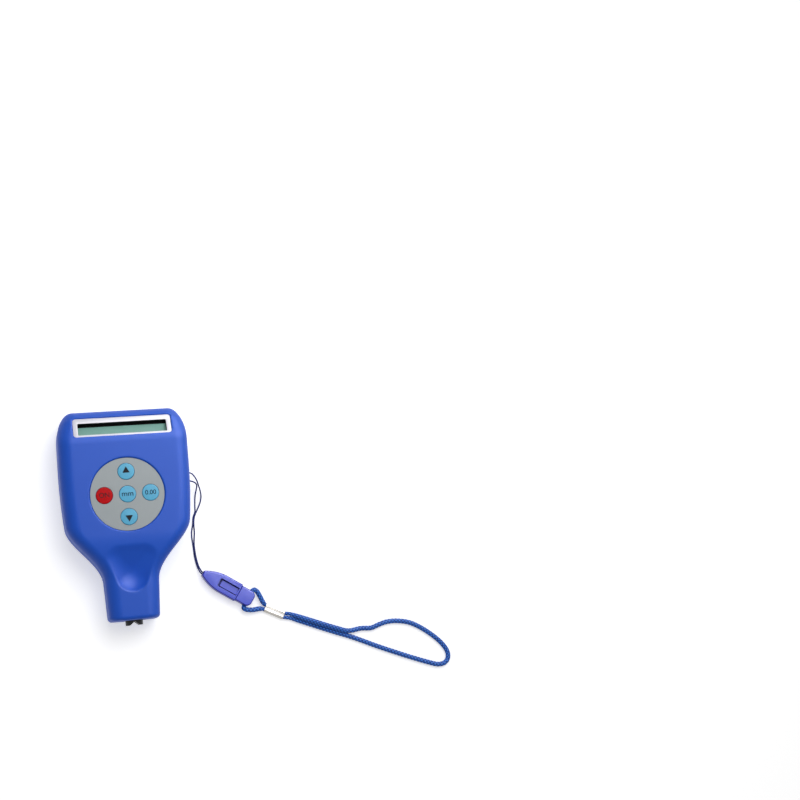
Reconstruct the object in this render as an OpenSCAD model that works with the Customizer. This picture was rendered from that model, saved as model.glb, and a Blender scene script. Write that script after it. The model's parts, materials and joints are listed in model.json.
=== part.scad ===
// Coating thickness gauge: a hand-held case with a leaning display, a round keypad,
// a sprung probe at the end of its neck and a wrist lanyard with a release buckle.
// Millimetres. The gauge lies on its flat back: +Z out of the face, +Y toward the display.

/* [Case] */
// Width across the body
body_w = 66; // [65:0.5:70]
// Length from the top edge to the end of the neck
case_len = 108.5; // [107:0.5:110]
// Thickness from the flat back to the face
case_t = 26; // [26:0.5:28]
// Width at the end of the neck
neck_w = 25.5; // [25:0.5:29]
// Drop of the face from the body to the neck
neck_drop = 3; // [2.5:0.25:3.25]
// Wall thickness of both covers
wall = 2; // [1.8:0.1:2.2]
// Radius of the long edges of the face
front_r = 7; // [6:0.5:7.5]
// Radius of the long edges of the back
back_r = 5; // [4:0.5:5.5]
// Lean of the display facet, degrees
facet_lean = 23; // [21:0.5:24]

/* [Display] */
// Width of the display frame
bezel_w = 49.6; // [48:0.2:50]
// Height of the display frame along its slope
bezel_h = 11.2; // [10.8:0.1:11.5]
// Width of the display opening
lcd_w = 45; // [43:0.2:45.4]
// Height of the display opening
lcd_h = 7.2; // [6.6:0.1:7.4]
// Lean of the display frame, degrees
bezel_lean = 25; // [24:0.5:26]
// Gap between the display frame and its pocket
bezel_gap = 0.2; // [0.1:0.05:0.3]

/* [Keypad] */
// Diameter of the round keypad recess
pad_d = 37.6; // [37:0.2:38.4]
// Width of the sloped lip round the keypad recess
pad_lip = 0.8; // [0.5:0.1:1]
// Diameter of each key cap
key_d = 8.4; // [8:0.1:8.8]
// Distance from the middle key to its neighbours
key_pitch = 11.6; // [11:0.1:12]
// Travel of a key
key_travel = 0.4; // [0.3:0.05:0.5]
// Gap round each key cap
key_gap = 0.2; // [0.15:0.05:0.25]

/* [Thumb scoop] */
// Width of the scoop
scoop_w = 23.5; // [22:0.5:24.5]
// Length of the scoop
scoop_len = 21; // [20:0.5:22]
// Greatest depth of the scoop
scoop_depth = 4; // [3.4:0.2:4.4]

/* [Battery bay] */
// Width of the battery door's plate
door_w = 26; // [25:0.5:27]
// Thickness of the battery door's plate
door_t = 1.65; // [1.5:0.05:1.8]
// Clearance round the battery door
door_gap = 0.15; // [0.1:0.05:0.2]

/* [Probe] */
// Diameter of the probe sleeve
probe_d = 8.8; // [8.4:0.1:9.2]
// How far the probe stands out of the neck
probe_out = 2.5; // [2.25:0.25:3]
// Travel of the probe into the case
probe_travel = 2; // [1.5:0.25:2]
// Running clearance of the sleeve in its guide
probe_gap = 0.1; // [0.08:0.01:0.15]

/* [Lanyard] */
// Diameter of the thin cord
thin_d = 0.8; // [0.7:0.1:0.9]
// Diameter of the wrist cord
wrist_d = 2.7; // [2.3:0.1:2.8]
// Width of the release buckle
buckle_w = 9.6; // [9.2:0.1:10]
// Height of the release buckle
buckle_t = 6; // [5.8:0.1:6.4]
// Length of the buckle's nose piece
nose_len = 21.5; // [21:0.5:23]

/* [Hidden] */
$fn = 64;
eps = 0.01;

// Ends of the case along Y, and the seam between its halves
y_top = (case_len + probe_out) / 2;
y_end = y_top - case_len;
seam_z = 13;

// Plan of the case
corner_x = 8.4;
corner_y = 16;
neck_corner = 2;
neck_taper = 0.05;
body_bow = 1.2;
bow_span = 26;
y_bow = y_top - 30;
y_shoulder = y_top - 59.4;
y_neck = y_end + 20;
y_drop = y_top - 65.3;

// Side view of the case
crease_y = y_top - 15.9;
crease_blend = 2.4;
top_edge_r = 6;
back_edge_r = 5;
arc_steps = 7;

// Display stack, in the frame's own slope
fit_gap = 0.15;
bezel_t = 1.6;
bezel_r = 1.6;
bezel_up = 1.3;
bezel_sink = 0.5;
bezel_bottom_rim = 1.1;
pocket_wall = 1.8;
ledge_t = 1.2;
window_rim = 0.9;
window_t = 1;
panel_t = 1.8;
panel_rim = 1;
tray_t = 1;
tray_wall = 0.7;
tray_rim = window_rim + panel_rim + fit_gap;
bezel_y = crease_y + bezel_up;
bezel_z = case_t - bezel_up * tan(facet_lean) - bezel_sink;
ledge_back = -bezel_t - ledge_t;
ribbon_w = 22;
ribbon_t = 0.25;

// Keypad, from the face downward
pad_y = y_top - 45.2;
pad_recess = 1.1;
pad_t = 0.5;
pad_floor = case_t - pad_recess;
pad_block = 3.6;
pad_block_rim = 1.5;
opening_gap = 0.75 * key_gap;
key_proud = 0.25;
key_cap_t = 1;
key_top = pad_floor + pad_t + key_proud;
key_stem_d = 5;
key_foot_d = 6.4;
stem_gap = 0.2;
dome_t = 0.3;
dome_d = 4.6;
dome_gap = 0.1;
key_at = [[-key_pitch, 0], [0, 0], [key_pitch, 0], [0, key_pitch], [0, -key_pitch]];

// Circuit board
board_t = 1.6;
board_top = case_t - 6;
board_bottom = board_top - board_t;
board_w = 40;
board_y1 = y_top - 19.5;
board_y0 = y_top - 66;
key_foot_z = board_top + dome_t + key_travel + dome_gap;
post_d = 5;
post_dx = 16;
post_y = [y_top - 26.5, y_top - 60.5];
board_screw_d = 2;
board_head_d = 4;
board_head_t = 1.3;
board_screw_bite = 2.4;
screw_gap = 0.05;
hole_gap = 0.2;
slot_w = 0.5;
slot_deep = 0.7;

// Parts under the board, placed from the keypad's centre
mcu_w = 10;
mcu_t = 1.4;
mcu_down = 9;
analog_w = 6;
analog_len = 5;
analog_t = 1.2;
analog_left = 14;
analog_down = 18;
crystal_w = 3.4;
crystal_len = 6;
crystal_t = 2.4;
crystal_x = 10.2;
crystal_down = 5.5;

// Cells and bay: two AAA cells side by side
cell_d = 10.5;
cell_len = 44.5;
cell_nub_d = 3.8;
cell_nub_t = 0.8;
cell_dx = 5.45;
contact_t = 0.4;
contact_spring = 6.4;
contact_w = 8;
contact_low = 4.4;
contact_high = 12.4;
bridge_w = 2 * cell_dx + 7.1;
coil_wire = 0.7;
coil_base_r = 3.6;
coil_tip_r = 2.2;
bay_wall = 1.2;
bay_half_w = 11.1;
bay_y1 = y_top - 9;
bay_y0 = bay_y1 - cell_len - 2 * contact_t - contact_spring;
flange_t = 0.95;
flange_over = 1.5;
rail_wall = 1.4;
door_top = door_t + flange_t;
cell_clear = 0.3;
cell_z = door_top + cell_clear + cell_d / 2;
bay_top = cell_z + cell_d / 2 + 0.1;
door_y0 = bay_y0 - 1.8;
door_end = y_top - 4.5;
tail_w = 2;

// Finger grooves on the battery door
grip_w = 14;
grip_slot = 1.1;
grip_pitch = 2.2;
grip_deep = 0.5;
grip_count = 5;
grip_y = door_end - 12;

// Case screws
boss_d = 7;
boss_at = [[body_w / 2 - 6, y_top - 22.5], [body_w / 2 - 8, y_top - 57.5]];
case_screw_d = 2.2;
screw_head_d = 4.6;
screw_head_t = 1.8;
screw_sink = 4;
screw_tip = 20;

// Probe, on its own axis along Y
probe_z = 11.5;
probe_bore_d = 7.2;
lead_d = 1.4;
probe_tip = y_end - probe_out;
guide_d = 13;
guide_flange_d = 14.6;
seat_gap = 0.05;
nose_gap = 0.4;
guide_y0 = y_end + wall;
rib_t = 2;
rib_y = y_end + 6;
flange_len = 1.4;
guide_tail = 1.9;
guide_y1 = rib_y + rib_t + flange_len + guide_tail;
collar_t = 1.6;
collar_d = 10.6;
sleeve_y1 = guide_y1 + fit_gap + collar_t;
bobbin_head_t = 2;
spigot_d = 4.8;
seat_t = 1.6;
seat_w = 12;
lead_room = 12.4;
seat_y = bay_y0 - bay_wall - lead_room - seat_t;
spring_y0 = sleeve_y1 + bobbin_head_t;
spring_len = seat_y - spring_y0;
spring_r = 3.4;
spring_wire = 0.7;
spigot_end = seat_y - probe_travel - lead_d;
pole_d = 2.4;
coil_core_d = 3.8;
coil_d = 6.6;
groove_w = 4.6;
groove_depth = 1.9;
sleeve_face = 2.4;
bobbin_lip = 0.8;
bobbin_seat = 2.4;

// Lanyard eye in the right-hand wall
eye_y = y_top - 36.2;
eye_pitch = 4.2;
eye_d = 2.2;
eye_z = 9;

// Buckle on the floor: place of the nose tip, turn about Z
buckle_at = beside(4.9, -51, 0);
buckle_turn = -34;
socket_wall = 1.4;
socket_deep = 12.5;
prong_gap = 0.15;
nose_tip = 1.3;
window_x = nose_len - socket_deep + 0.6;
window_half = 0.235 * buckle_w;
tongue_cut = 0.55;
tail_len = 8.6;
tail_half = 0.44 * buckle_w;
tail_r = 2.8;
tail_hole_d = 3.6;
tail_hole_x = nose_len + 5.9;
bar_d = 1.6;
bar_x = 5.2;
bar_turn_r = bar_d / 2 + thin_d / 2 + 0.2;
clip_at = [38, 0.45];
clip_turn = 6.4;
clip_len = 10.8;
clip_wall = 0.35;
clip_gap = 0.05;
clip_cord_d = 0.74 * wrist_d;
strand_dy = clip_cord_d / 2 + clip_gap;
clip_z = clip_cord_d / 2 + clip_wall + clip_gap;

// Form of the case: half width and heights along Y, inset by a wall for the inside

function clamp01(t) = min(max(t, 0), 1);
function ease(t) = let (c = clamp01(t)) c * c * (3 - 2 * c);
function shoulder(y) = ease((y - y_neck) / (y_shoulder - y_neck));
function raised(y) = ease((y - y_neck) / (y_drop - y_neck));
function rounding(r, inset) = max(r - inset, 0.4);
function quarter(d, reach, rise) =
    d >= reach ? 0 : rise * (1 - sqrt(max(0, 1 - pow((reach - d) / reach, 2))));

function plan_hw(y) =
    let (neck = neck_w / 2 + neck_taper * (y - y_end),
        bow = body_bow * pow(min(0, y - y_bow) / bow_span, 2),
        body = body_w / 2 - bow)
    neck + (body - neck) * shoulder(y);

function facet_run(y) =
    let (d = y - crease_y)
    d <= -crease_blend ? 0
    : d >= crease_blend ? d
    : pow(d + crease_blend, 2) / (4 * crease_blend);

function face_z(y) = case_t - neck_drop * (1 - raised(y)) - tan(facet_lean) * facet_run(y);

function steep(a, b) = sqrt(1 + pow((b - a) / 0.2, 2));

function half_w(y, inset) =
    plan_hw(y)
    - inset * steep(plan_hw(y - 0.1), plan_hw(y + 0.1))
    - quarter(y_top - inset - y, corner_y - inset, corner_x - inset)
    - quarter(y - y_end - inset, rounding(neck_corner, inset), rounding(neck_corner, inset));

function top_z(y, inset) =
    face_z(y)
    - inset * steep(face_z(y - 0.1), face_z(y + 0.1))
    - quarter(y_top - inset - y, top_edge_r - inset, top_edge_r - inset)
    - quarter(y - y_end - inset, rounding(neck_corner, inset), rounding(neck_corner, inset));

function bottom_z(y, inset) =
    inset
    + quarter(y_top - inset - y, back_edge_r - inset, back_edge_r - inset)
    + quarter(y - y_end - inset, rounding(neck_corner, inset), rounding(neck_corner, inset));

// Stations along Y, closer together where the form turns
function stations(inset) =
    let (y0 = y_end + inset,
        y1 = y_top - inset,
        end_r = rounding(neck_corner, inset),
        cap = corner_y - inset)
    concat(
        [for (i = [0:4]) y0 + end_r * (1 - cos(i * 22.5))],
        [y_neck - 12, y_neck - 5],
        [for (i = [0:13]) y_neck + (y_shoulder - y_neck) * i / 13],
        [y_shoulder + 7, y_shoulder + 18, y_shoulder + 30],
        [for (i = [0:4]) crease_y + crease_blend * (i / 2 - 1)],
        [for (i = [7:-1:0]) y1 - cap * (1 - cos(i * 11.25))]);

function mirrored(side) =
    concat(side, [for (i = [len(side) - 1:-1:0]) [-side[i][0], side[i][1], side[i][2]]]);

function front_ring(y, inset, low) =
    let (w = half_w(y, inset),
        top = top_z(y, inset),
        r = min(front_r - inset, 0.9 * (top - seam_z), 0.9 * w))
    mirrored(concat(
        [[w, y, low]],
        [for (i = [0:arc_steps]) let (a = 90 * i / arc_steps)
            [w - r + r * cos(a), y, top - r + r * sin(a)]]));

function rear_ring(y, inset, high) =
    let (w = half_w(y, inset),
        bottom = bottom_z(y, inset),
        r = min(back_r - inset, 0.9 * (seam_z - bottom), 0.9 * w))
    mirrored(concat(
        [[-w, y, high]],
        [for (i = [0:arc_steps]) let (a = 90 * i / arc_steps)
            [-(w - r + r * cos(a)), y, bottom + r - r * sin(a)]]));

// Closed solid through a list of rings with the same number of points
module loft(rings) {
    n = len(rings[0]);
    last = (len(rings) - 1) * n;
    sides = [for (i = [0:len(rings) - 2]) for (j = [0:n - 1])
        let (a = i * n + j, b = i * n + (j + 1) % n)
        each [[a, b, b + n], [a, b + n, a + n]]];
    caps = [[for (j = [n - 1:-1:0]) j], [for (j = [0:n - 1]) last + j]];
    polyhedron([for (ring = rings) each ring], concat(sides, caps));
}

module front_form(inset, low) {
    loft([for (y = stations(inset)) front_ring(y, inset, low)]);
}

module rear_form(inset, high) {
    loft([for (y = stations(inset)) rear_ring(y, inset, high)]);
}

// Round tube along a list of points
function unit(v) = v / norm(v);
function spot(p) = [p[0], p[1], p[2]];
function girth(p, d) = len(p) > 3 ? p[3] : d;
function tangent(path, i) =
    unit(spot(path[min(i + 1, len(path) - 1)]) - spot(path[max(i - 1, 0)]));

module tube(path, d, sides) {
    rings = [for (i = [0:len(path) - 1])
        let (t = tangent(path, i),
            across = unit(cross(abs(t[2]) > 0.9 ? [0, 1, 0] : [0, 0, 1], t)),
            up = cross(t, across))
        [for (k = [0:sides - 1]) let (a = 360 * (k + 0.5) / sides)
            spot(path[i]) + girth(path[i], d) / 2 * (cos(a) * across + sin(a) * up)]];
    loft_open(rings);
}

module loft_open(rings) {
    n = len(rings[0]);
    last = (len(rings) - 1) * n;
    sides = [for (i = [0:len(rings) - 2]) for (j = [0:n - 1])
        let (a = i * n + j, b = i * n + (j + 1) % n)
        each [[a, b + n, b], [a, a + n, b + n]]];
    caps = [[for (j = [0:n - 1]) j], [for (j = [n - 1:-1:0]) last + j]];
    polyhedron([for (ring = rings) each ring], concat(sides, caps));
}

// Smooth curve through hand-chosen points
function curve_point(p, i, t) =
    let (a = p[max(i - 1, 0)], b = p[i], c = p[i + 1], d = p[min(i + 2, len(p) - 1)])
    0.5 * (2 * b + (c - a) * t + (2 * a - 5 * b + 4 * c - d) * t * t
        + (3 * b - a - 3 * c + d) * t * t * t);
function smooth(p, steps) =
    concat([for (i = [0:len(p) - 2]) for (k = [0:steps - 1]) curve_point(p, i, k / steps)],
        [p[len(p) - 1]]);

module rounded_plate(w, h, r, t) {
    linear_extrude(t) {
        translate([r, 0]) square([w - 2 * r, h]);
        translate([0, r]) square([w, h - 2 * r]);
        for (x = [r, w - r], y = [r, h - r]) translate([x, y]) circle(r);
    }
}

module along_y(at) {
    translate(at) rotate([-90, 0, 0]) children();
}

// Places children in the display frame's slope: X across, Y up the slope, Z out of it
module on_display() {
    translate([0, bezel_y, bezel_z]) rotate([-bezel_lean, 0, 0]) children();
}

function display_yz(u, v) = [
    bezel_y + u * cos(bezel_lean) + v * sin(bezel_lean),
    bezel_z - u * sin(bezel_lean) + v * cos(bezel_lean)];

module both_sides() {
    children();
    mirror([1, 0, 0]) children();
}

// Thumb scoop: two wide balls at its top edge, one deeper ball at its foot
scoop_top = y_neck + 15;
scoop_r = 11;
scoop_top_depth = 1.6;

function rim_r(depth) = sqrt(pow(scoop_r, 2) - pow(scoop_r - depth, 2));

module scoop(grow) {
    a = rim_r(scoop_top_depth);
    b = rim_r(scoop_depth);
    y_a = scoop_top - a;
    y_b = scoop_top - scoop_len + b;
    hull() {
        for (x = [-1, 1]) {
            translate([x * (scoop_w / 2 - a), y_a, face_z(y_a) - scoop_top_depth + scoop_r])
                sphere(scoop_r + grow, $fn = 32);
        }
        translate([0, y_b, face_z(y_b) - scoop_depth + scoop_r])
            sphere(scoop_r + grow, $fn = 32);
    }
}

// Box behind the display opening, wider than it by a rim on each side
module lcd_box(rim, low, high) {
    translate([-lcd_w / 2 - rim, bezel_bottom_rim - rim, low])
        cube([lcd_w + 2 * rim, lcd_h + 2 * rim, high - low]);
}

// Front cover

module display_pocket() {
    w = bezel_w / 2 + bezel_gap;
    translate([-w, -bezel_gap, -bezel_t])
        rounded_plate(2 * w, bezel_h + 2 * bezel_gap, bezel_r + bezel_gap, case_t);
    o = window_rim + fit_gap;
    lcd_box(o, ledge_back - ledge_t, -bezel_t + eps);
    lcd_box(tray_rim + tray_wall + fit_gap, ledge_back - panel_t - tray_t - fit_gap, ledge_back);
}

module front_cavity() {
    difference() {
        front_form(wall, seam_z - 1);
        scoop(wall);
        translate([0, pad_y, case_t - pad_block]) cylinder(d = pad_d + 2 * pad_block_rim, h = case_t);
        on_display() translate([-bezel_w / 2 - pocket_wall, -pocket_wall, ledge_back])
            cube([bezel_w + 2 * pocket_wall, bezel_h + 2 * pocket_wall, case_t]);
        both_sides() {
            for (p = boss_at) translate([p[0], p[1], seam_z - 2]) cylinder(d = boss_d, h = case_t);
            for (y = post_y) translate([post_dx, y, board_top]) cylinder(d = post_d, h = case_t);
        }
        difference() {
            translate([-body_w / 2, rib_y, seam_z - 2]) cube([body_w, rib_t, case_t]);
            along_y([0, rib_y - 1, probe_z]) cylinder(d = guide_d + 2 * seat_gap, h = rib_t + 2);
        }
    }
}

module front_cover() {
    color("#3f60c4") difference() {
        front_form(0, seam_z);
        front_cavity();
        scoop(0);
        on_display() display_pocket();
        translate([0, pad_y, pad_floor]) cylinder(d = pad_d, h = case_t);
        translate([0, pad_y, pad_floor + pad_t])
            cylinder(d1 = pad_d, d2 = pad_d + 4 * pad_lip, h = 2 * (pad_recess - pad_t));
        for (p = key_at) translate([p[0], pad_y + p[1], 0]) {
            translate([0, 0, key_top - key_cap_t - key_travel - dome_gap])
                cylinder(d = key_d + 2 * key_gap, h = case_t);
            translate([0, 0, case_t - pad_block - 1])
                cylinder(d = key_stem_d + 2 * stem_gap, h = case_t);
        }
        both_sides() {
            for (p = boss_at) translate([p[0], p[1], seam_z - 1])
                cylinder(d = case_screw_d + 2 * screw_gap, h = screw_tip - seam_z + 1 + hole_gap);
            for (y = post_y) translate([post_dx, y, board_top - 1])
                cylinder(d = board_screw_d + 2 * screw_gap, h = board_screw_bite + 1 + hole_gap);
        }
        along_y([0, y_end - 1, probe_z]) cylinder(d = probe_d + 2 * nose_gap, h = wall + 2);
    }
}

// Rear cover

module rear_cavity() {
    rail = door_w / 2 + flange_over + door_gap + rail_wall;
    difference() {
        rear_form(wall, seam_z + 1);
        translate([-bay_half_w - bay_wall, bay_y0 - bay_wall, 0])
            cube([2 * (bay_half_w + bay_wall), bay_y1 - bay_y0 + 2 * bay_wall, case_t]);
        translate([-rail, door_y0 - rail_wall, 0]) cube([2 * rail, case_len, door_top + door_gap + rail_wall]);
        translate([-rail, door_end - 2, 0]) cube([2 * rail, case_len, back_edge_r + door_gap + rail_wall]);
        both_sides() for (p = boss_at) translate([p[0], p[1], 0]) cylinder(d = boss_d, h = case_t);
        difference() {
            translate([-body_w / 2, rib_y, 0]) cube([body_w, rib_t, case_t]);
            along_y([0, rib_y - 1, probe_z]) cylinder(d = guide_d + 2 * seat_gap, h = rib_t + 2);
        }
        translate([-seat_w / 2, seat_y, 0]) cube([seat_w, seat_t, case_t]);
    }
}

module bay_space() {
    translate([-bay_half_w, bay_y0, door_top + door_gap - eps])
        cube([2 * bay_half_w, bay_y1 - bay_y0, bay_top - door_top - door_gap + eps]);
    for (x = [-cell_dx, cell_dx]) translate([x - tail_w / 2 - hole_gap, bay_y0, bay_top - eps])
        cube([tail_w + 2 * hole_gap, contact_t + hole_gap, case_t]);
}

// The door's tee section, grown by a gap for its slot
module door_tee(gap, y0, y1, low) {
    w = door_w / 2 + gap;
    lip = door_t - gap;
    translate([-w, y0 - gap, low]) cube([2 * w, y1 - y0 + gap, door_top + gap - low]);
    translate([-w - flange_over, y0 - gap, lip + gap * (gap > 0 ? 0 : 1)])
        cube([2 * (w + flange_over), y1 - y0 + gap, door_top + gap - lip]);
}

module rear_cover() {
    color("#3f60c4") difference() {
        union() {
            difference() {
                rear_form(0, seam_z);
                rear_cavity();
            }
            translate([-bay_half_w - bay_wall, bay_y0 - bay_wall, seam_z - 2])
                cube([2 * (bay_half_w + bay_wall), bay_y1 - bay_y0 + 2 * bay_wall,
                    bay_top + bay_wall - seam_z + 2]);
            translate([-seat_w / 2, seat_y, seam_z - 2])
                cube([seat_w, seat_t, probe_z + spring_r + 1 - seam_z + 2]);
        }
        bay_space();
        door_tee(door_gap, door_y0, y_top + 1, -1);
        translate([-door_w / 2 - door_gap, door_end - door_gap, -1])
            cube([door_w + 2 * door_gap, case_len, back_edge_r + door_gap + 1]);
        both_sides() for (p = boss_at) translate([p[0], p[1], 0]) {
            translate([0, 0, -1]) cylinder(d = screw_head_d + 2 * hole_gap, h = screw_sink + 1 + screw_head_t);
            cylinder(d = case_screw_d + 2 * hole_gap, h = case_t);
        }
        along_y([0, y_end - 1, probe_z]) cylinder(d = probe_d + 2 * nose_gap, h = wall + 2);
        along_y([0, seat_y - 1, probe_z]) cylinder(d = lead_d + 2 * nose_gap, h = seat_t + 2);
        for (s = [-1, 1]) translate([body_w / 2 - 4 * wall, eye_y + s * eye_pitch / 2, eye_z])
            rotate([0, 90, 0]) cylinder(d = eye_d, h = 6 * wall);
    }
}

module battery_door() {
    color("#3a58b6") difference() {
        intersection() {
            rear_form(0, seam_z);
            union() {
                door_tee(0, door_y0, door_end, -1);
                translate([-door_w / 2, door_end - eps, -1]) cube([door_w, case_len, back_edge_r + 1]);
            }
        }
        for (i = [0:grip_count - 1]) translate([-grip_w / 2, grip_y - i * grip_pitch, -1])
            cube([grip_w, grip_slot, 1 + grip_deep]);
    }
}

// Cross-slot screw with its head down
module screw(head_d, head_t, shank_d, shank_len) {
    difference() {
        cylinder(d = head_d, h = head_t);
        for (a = [0, 90]) rotate([0, 0, a])
            cube([0.62 * head_d, slot_w, 2 * slot_deep], center = true);
    }
    translate([0, 0, head_t]) cylinder(d = shank_d, h = shank_len);
}

module case_screws() {
    color("#9aa0a6") both_sides() for (p = boss_at) translate([p[0], p[1], screw_sink])
        screw(screw_head_d, screw_head_t, case_screw_d, screw_tip - screw_sink - screw_head_t);
}

// Display

module display_bezel() {
    color("#e6e4ee") on_display() difference() {
        translate([-bezel_w / 2, 0, -bezel_t]) rounded_plate(bezel_w, bezel_h, bezel_r, bezel_t);
        translate([-lcd_w / 2, bezel_bottom_rim, -bezel_t - 1]) cube([lcd_w, lcd_h, bezel_t + 2]);
    }
}

module display_window() {
    color("#cfe6e2") on_display() lcd_box(window_rim, -bezel_t - window_t, -bezel_t);
}

module lcd_panel() {
    color("#8fbca2") on_display() lcd_box(window_rim + panel_rim, ledge_back - panel_t, ledge_back);
}

module lcd_tray() {
    floor_z = ledge_back - panel_t;
    color("#2a2c30") on_display() difference() {
        lcd_box(tray_rim + tray_wall, floor_z - tray_t, ledge_back);
        lcd_box(tray_rim, floor_z, ledge_back + 1);
        translate([-ribbon_w / 2 - 1, bezel_bottom_rim - tray_rim - tray_wall - 1, floor_z - tray_t - 1])
            cube([ribbon_w + 2, tray_wall + 2.5, panel_t + tray_t + 2]);
    }
}

module lcd_ribbon() {
    u = bezel_bottom_rim - window_rim - panel_rim;
    high = display_yz(u, ledge_back - panel_t / 2 + ribbon_t);
    low = display_yz(u, ledge_back - panel_t / 2);
    pad = board_y1 - 2.4;
    color("#c98a3a") translate([-ribbon_w / 2, 0, 0]) rotate([90, 0, 90]) linear_extrude(ribbon_w)
        polygon([high, [board_y1 + 1.2, board_top + 0.2 + ribbon_t], [board_y1 - 0.4, board_top + ribbon_t],
            [pad, board_top + ribbon_t], [pad, board_top], [board_y1 - 0.4, board_top],
            [board_y1 + 1.2, board_top + 0.2], low]);
}

// Keypad

module keypad_overlay() {
    color("#8f9096") difference() {
        translate([0, pad_y, pad_floor]) cylinder(d = pad_d - 2 * opening_gap, h = pad_t);
        for (p = key_at) translate([p[0], pad_y + p[1], pad_floor - 1])
            cylinder(d = key_d + 2 * opening_gap, h = pad_t + 2);
    }
}

module key(i) {
    stem_top = key_top - key_cap_t;
    foot_top = case_t - pad_block - dome_gap;
    translate([key_at[i][0], pad_y + key_at[i][1], 0]) {
        translate([0, 0, stem_top]) cylinder(d = key_d, h = key_cap_t);
        translate([0, 0, foot_top]) cylinder(d = key_stem_d, h = stem_top - foot_top);
        translate([0, 0, key_foot_z]) cylinder(d = key_foot_d, h = foot_top - key_foot_z);
    }
}

module key_on() {
    color("#d02428") key(0);
}

module key_unit() {
    color("#4fb4dc") key(1);
}

module key_zero() {
    color("#4fb4dc") key(2);
}

module key_up() {
    color("#4fb4dc") key(3);
}

module key_down() {
    color("#4fb4dc") key(4);
}

module key_domes() {
    color("#c9ccd0") for (p = key_at) translate([p[0], pad_y + p[1], board_top])
        cylinder(d = dome_d, h = dome_t);
}

// Board

module main_board() {
    cut = 6;
    x = board_w / 2;
    color("#2f7a4a") difference() {
        translate([0, 0, board_bottom]) linear_extrude(board_t)
            polygon([[-x, board_y1], [-x, board_y0 + cut], [-x + cut, board_y0],
                [x - cut, board_y0], [x, board_y0 + cut], [x, board_y1]]);
        both_sides() for (y = post_y) translate([post_dx, y, board_bottom - 1])
            cylinder(d = board_screw_d + 2 * hole_gap, h = board_t + 2);
    }
}

module board_screws() {
    color("#b9bcc2") both_sides() for (y = post_y) translate([post_dx, y, board_bottom - board_head_t])
        screw(board_head_d, board_head_t, board_screw_d, board_t + board_screw_bite);
}

module microcontroller() {
    color("#202226") translate([-mcu_w / 2, pad_y - mcu_down, board_bottom - mcu_t])
        cube([mcu_w, mcu_w, mcu_t]);
}

module analog_chip() {
    color("#202226") translate([-analog_left, pad_y - analog_down, board_bottom - analog_t])
        cube([analog_w, analog_len, analog_t]);
}

module crystal() {
    color("#b9bcc2") translate([crystal_x, pad_y - crystal_down, board_bottom - crystal_t]) {
        translate([-crystal_w / 2, 0, 0]) cube([crystal_w, crystal_len, crystal_t]);
        for (y = [0, crystal_len]) translate([0, y, 0]) cylinder(d = crystal_w, h = crystal_t);
    }
}

// Power

module cell(flat_y, way) {
    along_y([0, flat_y, cell_z]) mirror([0, 0, way < 0 ? 1 : 0]) {
        cylinder(d = cell_d, h = cell_len - cell_nub_t);
        translate([0, 0, cell_len - cell_nub_t]) cylinder(d = cell_nub_d, h = cell_nub_t);
    }
}

module cell_left() {
    color("#3b3d42") translate([-cell_dx, 0, 0]) cell(bay_y1 - contact_t - cell_len, 1);
}

module cell_right() {
    color("#3b3d42") translate([cell_dx, 0, 0]) cell(bay_y0 + contact_t + cell_len, -1);
}

// Conical contact spring from a plate at y0, reaching length along Y
module contact_coil(y0, reach) {
    turns = 3.5;
    steps = 34;
    lead = sign(reach) * coil_wire;
    path = [for (i = [0:steps])
        let (t = i / steps, a = 360 * turns * t, r = coil_base_r + (coil_tip_r - coil_base_r) * t)
        [r * cos(a), y0 + lead / 2 + (reach - lead) * t, cell_z + r * sin(a)]];
    tube(path, coil_wire, 6);
}

module contact_plate(w, y0) {
    translate([-w / 2, y0, contact_low]) cube([w, contact_t, contact_high - contact_low]);
}

module contact_bridge() {
    color("#c2c6cc") {
        contact_plate(bridge_w, bay_y1 - contact_t);
        translate([cell_dx, 0, 0]) contact_coil(bay_y1 - contact_t, -contact_spring);
    }
}

module contact_tail() {
    translate([-tail_w / 2, bay_y0, contact_high - 1])
        cube([tail_w, contact_t, board_bottom - contact_high + 1]);
}

module contact_minus() {
    color("#c2c6cc") translate([-cell_dx, 0, 0]) {
        contact_plate(contact_w, bay_y0);
        contact_tail();
        contact_coil(bay_y0 + contact_t, contact_spring);
    }
}

module contact_plus() {
    color("#c2c6cc") translate([cell_dx, 0, 0]) {
        contact_plate(contact_w, bay_y0);
        contact_tail();
    }
}

// Probe

module probe_guide() {
    color("#26282c") difference() {
        union() {
            along_y([0, guide_y0, probe_z]) cylinder(d = guide_d, h = guide_y1 - guide_y0);
            along_y([0, rib_y - flange_len - seat_gap, probe_z]) cylinder(d = guide_flange_d, h = flange_len);
            along_y([0, rib_y + rib_t + seat_gap, probe_z]) cylinder(d = guide_flange_d, h = flange_len);
        }
        along_y([0, y_end - 1, probe_z]) cylinder(d = probe_d + 2 * probe_gap, h = case_len);
    }
}

module probe_sleeve() {
    color("#17181b") difference() {
        union() {
            along_y([0, probe_tip, probe_z]) cylinder(d = probe_d, h = sleeve_y1 - probe_tip);
            along_y([0, sleeve_y1 - collar_t, probe_z]) cylinder(d = collar_d, h = collar_t);
        }
        along_y([0, probe_tip + sleeve_face, probe_z]) cylinder(d = probe_bore_d, h = case_len);
        along_y([0, probe_tip - 1, probe_z]) cylinder(d = pole_d + 2 * probe_gap, h = case_len);
        translate([0, probe_tip, probe_z - probe_d]) linear_extrude(2 * probe_d)
            polygon([[-groove_w / 2, -eps], [groove_w / 2, -eps], [0, groove_depth]]);
    }
}

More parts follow.
